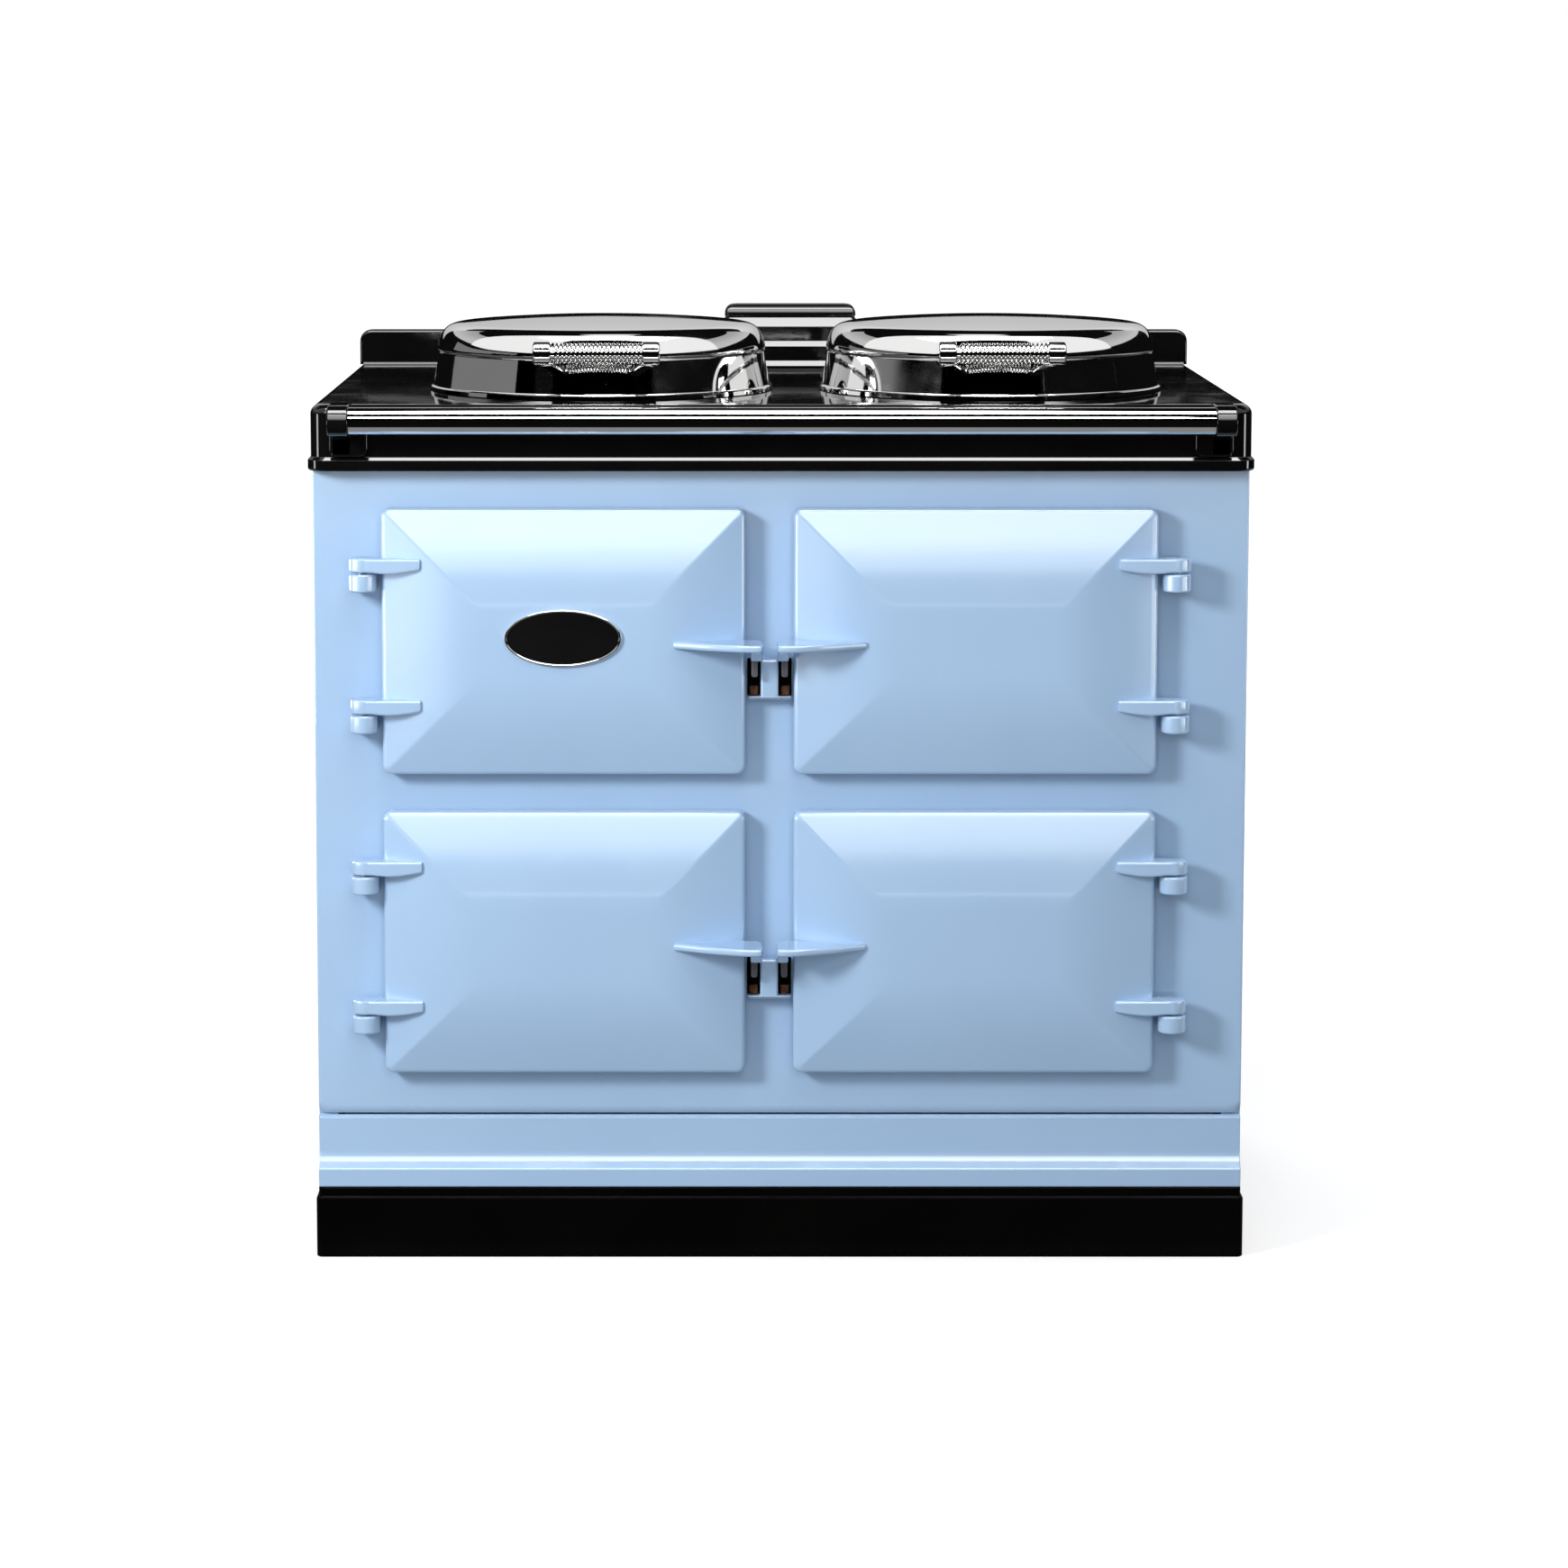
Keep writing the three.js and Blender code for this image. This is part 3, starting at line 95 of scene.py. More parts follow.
# Doors, from the front plate outwards
DOOR_BACK = FRONT - 4
DOOR_SHOULDER = DOOR_BACK - 22
DOOR_CROWN = 19.5
DOOR_FACE = DOOR_SHOULDER - DOOR_CROWN
PILLOW_RUN = 104
DOOR_EDGE_R = 6
DOOR_CORNER_R = 9
CREASE_R = 2.5
MOUTH_MARGIN = 20
PIN_FROM_EDGE = 19
PIN_Y = FRONT - 28
ARM_ABOVE_MIDDLE = 82
ARM_BELOW_MIDDLE = 66.5
ARM_H = 14.6
KNUCKLE_R = 14.5


# ---------------------------------------------------------------- outlines
def rounded_rectangle(u0, u1, v0, v1, radius, steps=8, guard=1.5, cuts_u=(), cuts_v=()):
    """Points [u, v] round a rectangle, anticlockwise. Each corner is a quarter circle with one
    more point `guard` along the side before and after it, which keeps the long sides' shading
    flat. A side also has a point wherever it crosses one of the cuts."""
    centres = [(u1 - radius, v1 - radius), (u0 + radius, v1 - radius),
               (u0 + radius, v0 + radius), (u1 - radius, v0 + radius)]
    side_cuts = [[(u, v1) for u in sorted(cuts_u, reverse=True)],
                 [(u0, v) for v in sorted(cuts_v, reverse=True)],
                 [(u, v0) for u in sorted(cuts_u)], [(u1, v) for v in sorted(cuts_v)]]
    points = []
    for quarter, (centre, cuts) in enumerate(zip(centres, side_cuts)):
        turn = (quarter + np.linspace(0, 1, steps + 1)) * QUARTER
        along = np.column_stack([-np.sin(turn), np.cos(turn)])
        arc = np.array(centre) + radius * np.column_stack([np.cos(turn), np.sin(turn)])
        points += [arc[:1] - guard * along[:1], arc, arc[-1:] + guard * along[-1:]]
        points.append(np.reshape(cuts, (-1, 2)))
    return np.vstack(points)


def eased(corners, radius, steps=5):
    """A closed outline of [u, v] corners, each eased by a parabola that touches its two sides
    `radius` away from the corner, or at the side's middle if that is nearer."""
    corners = np.asarray(corners, float)
    reach = np.broadcast_to(np.reshape(radius, (-1, 1)), (len(corners), 1))

    def towards(neighbour):
        side = neighbour - corners
        length = np.linalg.norm(side, axis=1, keepdims=True)
        return (corners + side * np.minimum(0.5, reach / length))[:, None]

    t = np.linspace(0, 1, steps + 1)[None, :, None]
    first, last = towards(np.roll(corners, 1, axis=0)), towards(np.roll(corners, -1, axis=0))
    curve = (1 - t) ** 2 * first + 2 * t * (1 - t) * corners[:, None] + t ** 2 * last
    return curve.reshape(-1, 2)


def shrunk(outline, distance):
    """The outline moved inwards by `distance`: each point goes along the mean of its two
    sides' normals, further where the corner is sharper."""
    ahead = np.roll(outline, -1, axis=0) - outline
    ahead = ahead / np.maximum(np.linalg.norm(ahead, axis=1, keepdims=True), 1e-9)
    normal = np.column_stack([-ahead[:, 1], ahead[:, 0]])
    before = np.roll(normal, 1, axis=0)
    mean = normal + before
    mean = mean / np.maximum(np.linalg.norm(mean, axis=1, keepdims=True), 1e-9)
    stretch = 1 / np.maximum(0.5, np.sum(mean * normal, axis=1, keepdims=True))
    area = np.sum(outline[:, 0] * np.roll(outline[:, 1], -1) - outline[:, 1] * np.roll(outline[:, 0], -1))
    return outline + math.copysign(distance, area) * mean * stretch


def standing(outline, depth, axis):
    """An outline of [u, v] points as [x, y, z] points at a depth along the named axis."""
    u, v = np.transpose(outline)
    w = np.full_like(u, depth)
    return np.stack({"x": [w, u, v], "y": [u, w, v], "z": [u, v, w]}[axis], axis=-1)


# ---------------------------------------------------------------- shells: (points, faces)
def lattice(rows, rows_close, points_close=True):
    """Four-sided faces between the neighbouring rows of a grid of points."""
    rows = np.asarray(rows, float)
    index = np.arange(rows.shape[0] * rows.shape[1]).reshape(rows.shape[:2])
    if rows_close:
        index = np.vstack([index, index[:1]])
    if points_close:
        index = np.hstack([index, index[:, :1]])
    corners = [index[:-1, :-1], index[:-1, 1:], index[1:, 1:], index[1:, :-1]]
    return rows.reshape(-1, 3), np.stack(corners, axis=-1).reshape(-1, 4).tolist()


def loft(rows):
    """A skin over a pile of outlines, with a flat face over its first and its last row."""
    points, faces = lattice(rows, False)
    count = len(rows[0])
    return points, faces + [list(range(count)), list(range(len(points) - count, len(points)))]


def ring(rows):
    """A skin over rows that come back to the first one, like a frame or a tube's wall."""
    return lattice(rows, True)


def sleeve(rows):
    """A skin over a pile of outlines that is left open at both ends, to join its neighbours."""
    return lattice(rows, False)


def slab(outline, axis, low, high, edge=1.5, steps=3):
    """An outline given thickness along an axis. Its rims are quarter circles: the outline
    shrinks by edge (1 - sin a) at the height edge (1 - cos a) over either face."""
    turn = np.linspace(0, QUARTER, steps + 1)
    shrink, rise = edge * (1 - np.sin(turn)), edge * (1 - np.cos(turn))
    levels = list(zip(low + rise, shrink)) + list(zip(high - rise, shrink))[::-1]
    return loft([standing(shrunk(outline, inward), depth, axis) for depth, inward in levels])


def brick(x, y, z, edge=1.5, corner=2.0):
    """A block between three pairs of limits, with rounded edges."""
    return slab(rounded_rectangle(*x, *z, corner, 4, 0.5), "y", *y, edge)


def turned(profile, centre, axis="z", sides=96, closed=False):
    """A profile of [radius, height] points turned about an axis through the centre."""
    turn = np.linspace(0, 2 * math.pi, sides, endpoint=False)
    radius, height = np.transpose(np.asarray(profile, float))[:, :, None]
    a, b = radius * np.cos(turn), radius * np.sin(turn)
    h = height + 0 * turn
    rows = np.stack({"x": [h, a, b], "y": [b, h, a], "z": [a, b, h]}[axis], axis=-1) + centre
    return ring(rows) if closed else lattice(rows, False)


def bent(start, pull_start, pull_end, end, steps=10):
    """Points on a cubic curve from start to end, drawn towards the two pulls."""
    t = np.linspace(0, 1, steps + 1)[:, None]
    start, pull_start, pull_end, end = map(np.array, (start, pull_start, pull_end, end))
    return ((1 - t) ** 3 * start + 3 * t * (1 - t) ** 2 * pull_start
            + 3 * t ** 2 * (1 - t) * pull_end + t ** 3 * end)


def wire(path, normal, radius, sides=10, closed=False):
    """A round wire along a path: at each point a circle across the path, whose two axes are
    the cross product of the path's direction with the normal, and the one square to both."""
    path = np.asarray(path, float)
    if closed:
        along = np.roll(path, -1, axis=0) - np.roll(path, 1, axis=0)
    else:
        along = np.gradient(path, axis=0)
    across = np.cross(along, normal)
    across = across / np.linalg.norm(across, axis=1, keepdims=True)
    upright = np.cross(across, along)
    upright = upright / np.linalg.norm(upright, axis=1, keepdims=True)
    turn = np.linspace(0, 2 * math.pi, sides, endpoint=False)[None, :, None]
    rows = path[:, None] + radius * (np.cos(turn) * across[:, None] + np.sin(turn) * upright[:, None])
    return ring(rows) if closed else loft(rows)


def cell(corners, hole):
    """Flat faces between a cell's four corners and the loop of a hole in it: each quarter of
    the loop fans out to its own corner."""
    outer = np.repeat(np.asarray(corners, float), len(hole) // 4, axis=0)
    return sleeve([outer, hole])


def moved(shell, x=0.0, y=0.0, z=0.0, hand=1):
    """A shell mirrored in X where the hand is -1, and then moved."""
    points, faces = shell
    return points * [hand, 1, 1] + [x, y, z], faces


# ---------------------------------------------------------------- pieces from shells
def make(name, shells, finish, body, stands_for=(), sharp=38):
    """One named piece out of shells: joined, with its doubles merged and its faces outwards."""
    counts = np.cumsum([0] + [len(points) for points, _ in shells])
    points = np.vstack([points for points, _ in shells]) * MM
    faces = [[start + corner for corner in face]
             for start, (_, faces) in zip(counts, shells) for face in faces]
    mesh = bpy.data.meshes.new(name)
    mesh.from_pydata(points.tolist(), [], faces)
    work = bmesh.new()
    work.from_mesh(mesh)
    bmesh.ops.remove_doubles(work, verts=work.verts, dist=1e-6)
    bmesh.ops.recalc_face_normals(work, faces=work.faces)
    work.to_mesh(mesh)
    work.free()
    mesh.shade_smooth()
    mesh.set_sharp_from_angle(angle=math.radians(sharp))
    mesh.materials.append(FINISHES[finish])
    piece = bpy.data.objects.new(name, mesh)
    bpy.context.scene.collection.objects.link(piece)
    flatten = piece.modifiers.new("Large faces shade flat", "WEIGHTED_NORMAL")
    flatten.keep_sharp = True
    sort_by_finish(piece, finish)
    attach(piece, body)
    if stands_for:
        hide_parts(*stands_for)


# ---------------------------------------------------------------- shared shader groups
def shader_group(name, inputs, output):
    """An empty node group with named inputs (socket kind, start value) and one output."""
    group = bpy.data.node_groups.new(name, "ShaderNodeTree")
    for label, (kind, value) in inputs.items():
        group.interface.new_socket(label, in_out="INPUT", socket_type=kind).default_value = value
    group.interface.new_socket(output[0], in_out="OUTPUT", socket_type=output[1])
    return group, group.nodes.new("NodeGroupInput"), group.nodes.new("NodeGroupOutput")


def noise(tree, scale, detail=3.0, stretch=None):
    """A noise texture on Object coordinates, stretched by a Mapping node where asked."""
    place = tree.nodes.new("ShaderNodeTexCoord").outputs["Object"]
    if stretch:
        mapping = tree.nodes.new("ShaderNodeMapping")
        mapping.inputs["Scale"].default_value = stretch
        tree.links.new(place, mapping.inputs["Vector"])
        place = mapping.outputs["Vector"]
    texture = tree.nodes.new("ShaderNodeTexNoise")
    texture.inputs["Detail"].default_value = detail
    tree.links.new(place, texture.inputs["Vector"])
    if isinstance(scale, (int, float)):
        texture.inputs["Scale"].default_value = scale
    else:
        tree.links.new(scale, texture.inputs["Scale"])
    return texture.outputs["Fac"]


def ranged(tree, value, low, high, to_low, to_high):
    """The value mapped from one range to another; the new ends may be sockets."""
    node = tree.nodes.new("ShaderNodeMapRange")
    node.interpolation_type = "SMOOTHSTEP"
    tree.links.new(value, node.inputs["Value"])
    for label, end in (("From Min", low), ("From Max", high), ("To Min", to_low), ("To Max", to_high)):
        if isinstance(end, (int, float)):
            node.inputs[label].default_value = end
        else:
            tree.links.new(end, node.inputs[label])
    return node.outputs["Result"]


def combined(tree, operation, first, second):
    """Two values, sockets or numbers, through one Math node."""
    node = tree.nodes.new("ShaderNodeMath")
    node.operation = operation
    for socket, value in zip(node.inputs, (first, second)):
        if isinstance(value, (int, float)):
            socket.default_value = value
        else:
            tree.links.new(value, socket)
    return node.outputs["Value"]


def tone_group():
    """Colour that wanders slowly between two near tones."""
    colour = "NodeSocketColor"
    group, given, result = shader_group("Uneven tone", {
        "Tone": (colour, (0.5, 0.5, 0.5, 1)),
        "Other tone": (colour, (0.4, 0.4, 0.4, 1)),
        "Scale": ("NodeSocketFloat", 6.0),
    }, ("Color", colour))
    mask = ranged(group, noise(group, given.outputs["Scale"]), 0.35, 0.65, 0.0, 1.0)
    mix = group.nodes.new("ShaderNodeMix")
    mix.data_type = "RGBA"
    group.links.new(mask, mix.inputs["Factor"])
    group.links.new(given.outputs["Tone"], mix.inputs["A"])
    group.links.new(given.outputs["Other tone"], mix.inputs["B"])
    group.links.new(mix.outputs["Result"], result.inputs["Color"])
    return group


def ripple_group():
    """Height of a surface that is long-waved like poured glass, with a fine grain on it."""
    group, given, result = shader_group("Surface ripple", {
        "Scale": ("NodeSocketFloat", 60.0),
        "Grain": ("NodeSocketFloat", 0.2),
    }, ("Height", "NodeSocketFloat"))
    waves = noise(group, given.outputs["Scale"], 2.0)
    fine_scale = combined(group, "MULTIPLY", given.outputs["Scale"], 9.0)
    fine = combined(group, "MULTIPLY", noise(group, fine_scale, 2.0), given.outputs["Grain"])
    group.links.new(combined(group, "ADD", waves, fine), result.inputs["Height"])
    return group


def wipe_group():
    """Roughness from clean to handled: broad smudges, with hair-thin lines across them."""
    group, given, result = shader_group("Wiping marks", {
        "Clean": ("NodeSocketFloat", 0.1),
        "Handled": ("NodeSocketFloat", 0.2),
        "Scale": ("NodeSocketFloat", 12.0),
    }, ("Roughness", "NodeSocketFloat"))
    smudge = ranged(group, noise(group, given.outputs["Scale"], 4.0), 0.45, 0.75, 0.0, 1.0)
    line_scale = combined(group, "MULTIPLY", given.outputs["Scale"], 4.0)
    lines = ranged(group, noise(group, line_scale, 2.0, (1, 1, 14)), 0.62, 0.7, 0.0, 0.5)
    mask = combined(group, "MAXIMUM", smudge, lines)
    level = ranged(group, mask, 0.0, 1.0, given.outputs["Clean"], given.outputs["Handled"])
    group.links.new(level, result.inputs["Roughness"])
    return group


TONE, RIPPLE, WIPE = tone_group(), ripple_group(), wipe_group()


# ---------------------------------------------------------------- finishes
def place_group(tree, group, values):
    """A shared group placed in a material with its own values."""
    node = tree.nodes.new("ShaderNodeGroup")
    node.node_tree = group
    for label, value in values.items():
        node.inputs[label].default_value = value
    return node.outputs[0]


def finish(name, tone, other_tone, roughness, tone_scale=6.0, metallic=0.0, coat=0.0,
           ripple=(60.0, 0.2), bump=0.1, specular=0.5):
    """A solid finish: uneven tone, wiping marks from the first to the second roughness, and a
    ripple of (scale, grain) as bump."""
    material = bpy.data.materials.new(name)
    material.use_nodes = True
    tree = material.node_tree
    shader = tree.nodes["Principled BSDF"]
    shader.inputs["Metallic"].default_value = metallic
    shader.inputs["Coat Weight"].default_value = coat
    shader.inputs["Coat Roughness"].default_value = 0.04
    shader.inputs["Specular IOR Level"].default_value = specular
    tones = {"Tone": (*tone, 1), "Other tone": (*other_tone, 1), "Scale": tone_scale}
    tree.links.new(place_group(tree, TONE, tones), shader.inputs["Base Color"])
    marks = {"Clean": roughness[0], "Handled": roughness[1]}
    tree.links.new(place_group(tree, WIPE, marks), shader.inputs["Roughness"])
    relief = tree.nodes.new("ShaderNodeBump")
    relief.inputs["Strength"].default_value = bump
    relief.inputs["Distance"].default_value = MM
    height = place_group(tree, RIPPLE, {"Scale": ripple[0], "Grain": ripple[1]})
    tree.links.new(height, relief.inputs["Height"])
    tree.links.new(relief.outputs["Normal"], shader.inputs["Normal"])
    return material


FINISHES = {
    "blue_enamel": finish("Sky blue enamel", (0.355, 0.51, 0.71), (0.345, 0.495, 0.695), (0.15, 0.22),
                          coat=0.5, ripple=(45.0, 0.12), bump=0.12),
    "black_enamel": finish("Black enamel", (0.003, 0.003, 0.003), (0.004, 0.004, 0.004), (0.05, 0.09),
                           ripple=(30.0, 0.1), bump=0.08),
    "black_paint": finish("Black satin paint", (0.001, 0.001, 0.001), (0.0015, 0.0015, 0.0014), (0.45, 0.6),
                          ripple=(200.0, 0.4), bump=0.12, specular=0.04),
    "chrome": finish("Polished chrome", (0.86, 0.86, 0.85), (0.83, 0.83, 0.83), (0.035, 0.08),
                     metallic=1.0, ripple=(16.0, 0.02), bump=0.05),
    "pan_steel": finish("Satin pressed steel", (0.42, 0.42, 0.43), (0.35, 0.35, 0.36), (0.28, 0.4),
                        metallic=0.55, ripple=(40.0, 0.2), bump=0.1),
    "frame_steel": finish("Plain rolled steel", (0.30, 0.30, 0.31), (0.22, 0.22, 0.23), (0.4, 0.55),
                          metallic=0.7, ripple=(120.0, 0.4), bump=0.2),
    "zinc_sheet": finish("Zinc coated sheet", (0.42, 0.43, 0.44), (0.33, 0.34, 0.36), (0.34, 0.5),
                         tone_scale=28.0, metallic=0.6, ripple=(90.0, 0.3), bump=0.15),
    "oven_iron": finish("Dark oven lining", (0.028, 0.028, 0.03), (0.018, 0.018, 0.02), (0.3, 0.45),
                        ripple=(140.0, 0.6), bump=0.4),
    "hotplate_iron": finish("Machined cast iron", (0.06, 0.058, 0.055), (0.045, 0.043, 0.041), (0.34, 0.5),
                            metallic=0.85, ripple=(260.0, 0.6), bump=0.3),
    "shelf_wire": finish("Plated wire", (0.7, 0.7, 0.7), (0.62, 0.62, 0.62), (0.15, 0.3),
                         metallic=1.0, ripple=(80.0, 0.2), bump=0.1),
    "lagging": finish("Mineral fibre", (0.45, 0.40, 0.29), (0.36, 0.32, 0.23), (0.85, 0.95),
                      tone_scale=20.0, ripple=(160.0, 0.8), bump=1.0),
    "panel_black": finish("Smoked fascia", (0.006, 0.006, 0.007), (0.008, 0.008, 0.009), (0.1, 0.2),
                          ripple=(100.0, 0.1), bump=0.05),
    "badge_black": finish("Black badge enamel", (0.004, 0.004, 0.004), (0.006, 0.006, 0.006), (0.05, 0.1),
                          coat=0.5, ripple=(60.0, 0.1), bump=0.06),
    "rope": finish("Woven glass rope", (0.62, 0.58, 0.50), (0.45, 0.42, 0.36), (0.8, 0.95),
                   tone_scale=400.0, ripple=(600.0, 0.5), bump=1.0),
    "roller_brown": finish("Heat-browned roller", (0.20, 0.075, 0.03), (0.09, 0.04, 0.02), (0.4, 0.6),
                           tone_scale=150.0, metallic=0.6, ripple=(300.0, 0.4), bump=0.2),
    "dial_white": finish("Printed dial marks", (0.75, 0.75, 0.72), (0.65, 0.65, 0.63), (0.4, 0.5),
                         ripple=(300.0, 0.2), bump=0.05),
}


# ---------------------------------------------------------------- base
def plinth():
    """A hollow ring: the outer outline climbs to a 3 mm step and the inner one comes down."""
    low, high = span("plinth")
    step, wall, rim = 12, 14, 2.5

    def level(z, inset, radius=6.0):
        outline = rounded_rectangle(low[0] + inset, high[0] - inset, low[1] + inset, high[1] - inset, radius)
        return standing(outline, z, "z")

    top, shoulder, ease = high[2], high[2] - step, 0.6
    rows = [level(0, 1), level(1, 0), level(shoulder, 0), level(shoulder + 1.5, ease),
            level(shoulder + 3, rim), level(top - ease, rim), level(top, rim + ease),
            level(top, wall, 1), level(0, wall, 1)]
    make("kickboard_plinth", [ring(rows)], "black_paint", "root", ["plinth"])


def levelling_feet():
    """Turned feet: a round-edged pad, a cone, a lock nut and a threaded stem."""
    for name in ("foot_front_left", "foot_front_right", "foot_rear_left", "foot_rear_right"):
        low, high = span(name)
        centre = np.mean([low, high], axis=0) * [1, 1, 0]
        pad, nut, stem, top = 20, 13, 9, high[2]
        thread, pitch, plain_end = 26, 1.5, 2
        crests = [[stem - (k % 2), thread + pitch * k]
                  for k in range(int((top - thread - plain_end) / pitch))]
        profile = [[0, 0], [pad - 1, 0], [pad, 1], [pad, 8.5], [pad - 1.5, 10], [stem + 1.5, 14],
                   [stem, 16], [stem, 18], [nut, 18.4], [nut, 24.6], [stem, 25], *crests,
                   [stem, top], [0, top]]
        make(f"levelling_{name}", [turned(profile, centre, sides=32)], "frame_steel", "root", [name])


def skirting():
    """A profile of [y, z] corners, eased, along the whole width. A thin lip at the back closes
    most of the gap under the front plate."""
    low, high = span("skirting")
    foot, top, face, back = low[2], high[2], low[1], high[1]
    band_h, ledge_top, set_back, lip, lip_h = 19.5, 31.5, 9.5, 2.5, 2.2
    corners = [[back, foot], [face, foot], [face, foot + band_h], [face + set_back, foot + ledge_top],
               [face + set_back, top], [back - lip, top], [back - lip, top + lip_h], [back, top + lip_h]]
    outline = eased(corners, [1, 2.5, 1.5, 6, 0.8, 0.6, 0.6, 0.6])
    make("moulded_skirting", [slab(outline, "x", low[0], high[0], 1.2)], "blue_enamel", "root", ["skirting"])


# ---------------------------------------------------------------- carcass
def front_plate():
    """A sheet with four mouths. Its rim bends back: by roll (1 - cos a) in depth and
    roll (1 - sin a) in height at the foot, and by 2 mm along the other sides. The sheet is cut
    into four cells, one round each mouth."""
    low, high = BODY_LOW, BODY_HIGH
    whole = (low[0], high[0], low[2], high[2])
    cut_x, cut_z = DOOR_GAP_X, (DOOR_AT["door_upper_left"][2] + DOOR_AT["door_lower_left"][2]) / 2
    foot_roll, foot_depth, rim, corner, mouth_r, ease = 10, 7, 2, 10, 12, 1.5

    def cut_rectangle(limits, radius, guard=1.5):
        return rounded_rectangle(*limits, radius, guard=guard, cuts_u=[cut_x], cuts_v=[cut_z])

    def outline(turn):
        points = cut_rectangle(whole, corner)
        near_foot = np.clip((low[2] + corner + 1.6 - points[:, 1]) / (corner + 1.6), 0, 1) ** 0.7
        inward = (rim + (foot_roll - rim) * near_foot) * (1 - math.sin(turn))
        depth = (rim + (foot_depth - rim) * near_foot) * (1 - math.cos(turn))
        top = points[:, 1] > low[2] + 2 * corner
        points = np.where(top[:, None], cut_rectangle(whole, 1.0), points)
        middle = np.array([(low[0] + high[0]) / 2, (low[2] + high[2]) / 2])
        flat = points + np.clip(middle - points, -inward[:, None], inward[:, None])
        return np.column_stack([flat[:, 0], low[1] + depth, flat[:, 1]])

    def corners(x0, x1, z0, z1, y):
        return [[x1, y, z1], [x0, y, z1], [x0, y, z0], [x1, y, z0]]

    roll = [outline(turn) for turn in np.linspace(0, QUARTER, 7)]
    flat = x0, x1, z0, z1 = low[0] + 14, high[0] - 14, low[2] + 22, high[2] - 14
    face_loop = standing(cut_rectangle(flat, 0, guard=0), low[1], "y")
    back_rim = standing(cut_rectangle(whole, 1), high[1], "y")
    back_loop = face_loop * [1, 0, 1] + [0, high[1], 0]
    shells = [sleeve([face_loop, *roll, back_rim, back_loop])]
    for name in DOOR_NAMES:
        x, _, z = DOOR_AT[name]
        half_w, half_h = DOOR_W / 2 - MOUTH_MARGIN, DOOR_H / 2 - MOUTH_MARGIN

        def mouth(y, grow):
            w, h = half_w + grow, half_h + grow
            return standing(rounded_rectangle(x - w, x + w, z - h, z + h, mouth_r + grow, guard=0), y, "y")

        ends_x = (x0, cut_x) if x < cut_x else (cut_x, x1)
        ends_z = (z0, cut_z) if z < cut_z else (cut_z, z1)
        shells.append(cell(corners(*ends_x, *ends_z, low[1]), mouth(low[1], ease)))
        shells.append(cell(corners(*ends_x, *ends_z, high[1]), mouth(high[1], 0)))
        shells.append(sleeve([mouth(low[1], ease), mouth(low[1] + 0.3 * ease, 0.3 * ease),
                              mouth(low[1] + ease, 0), mouth(high[1], 0)]))
    make("enamelled_front", shells, "blue_enamel", "root", ["front_plate"])


def mouth_seals():
    """A woven rope round each mouth, between the front plate and the door."""
    rope_r, beyond, corner = 1.8, 6, 14
    for name in DOOR_NAMES:
        x, _, z = DOOR_AT[name]
        half_w, half_h = DOOR_W / 2 - MOUTH_MARGIN + beyond, DOOR_H / 2 - MOUTH_MARGIN + beyond
        path = rounded_rectangle(x - half_w, x + half_w, z - half_h, z + half_h, corner)
        rope = wire(standing(path, FRONT - rope_r - 0.05, "y"), [0, 1, 0], rope_r, closed=True)
        make(f"rope_seal_{name[5:]}", [rope], "rope", "root")


def rear_fittings():
    """Two columns of pressed louvres, and screws round the edge of the rear panel."""
    column_x, lowest, pitch, half_w, half_h, count = 190, 560, 22, 70, 5, 8
    louvres = []
    for x in (-column_x, column_x):
        for z in lowest + pitch * np.arange(count):
            outline = rounded_rectangle(x - half_w, x + half_w, z - half_h, z + half_h, half_h - 0.1, 6)
            louvres.append(slab(outline, "y", REAR - 0.5, REAR + 4, 3.5, 5))
    make("rear_louvres", louvres, "zinc_sheet", "root")
    screw_x, reach_x = HALF_W - 10, 320
    places = [(x, z) for x in (-screw_x, screw_x) for z in np.linspace(110, 810, 8)]
    places += [(x, z) for x in np.linspace(-reach_x, reach_x, 5) for z in (88, 828)]
    profile = [[0, 2.2], [2, 2.1], [3.6, 1.4], [4.4, 0], [4.4, -1], [0, -1]]
    screws = [turned(profile, [x, REAR, z], "y", 20) for x, z in places]
    make("rear_screws", screws, "frame_steel", "root")


# ---------------------------------------------------------------- ovens and controls
def wire_shelves():
    """A bent wire frame with cross wires laid between its sides."""
    for name in ("roasting_shelf", "baking_shelf", "simmering_shelf"):
        low, high = span(name)
        rod, bar, bar_count = 3.0, 2.2, 15
        middle = (low[2] + high[2]) / 2
        x0, x1, y0, y1 = low[0] + rod, high[0] - rod, low[1] + rod, high[1] - rod
        edge = standing(rounded_rectangle(x0, x1, y0, y1, 8, 6), middle, "z")
        bars = [[[x, y, middle + 0.7] for y in (y0, y0 + 1, y1 - 1, y1)]
                for x in np.linspace(x0, x1, bar_count + 2)[1:-1]]
        bars.append([[x, (y0 + y1) / 2, middle - 0.8] for x in (x0, x0 + 1, x1 - 1, x1)])
        shells = [wire(edge, UP, rod, closed=True)] + [wire(path, UP, bar, 8) for path in bars]
        make(f"wire_{name}", shells, "shelf_wire", "root", [name])


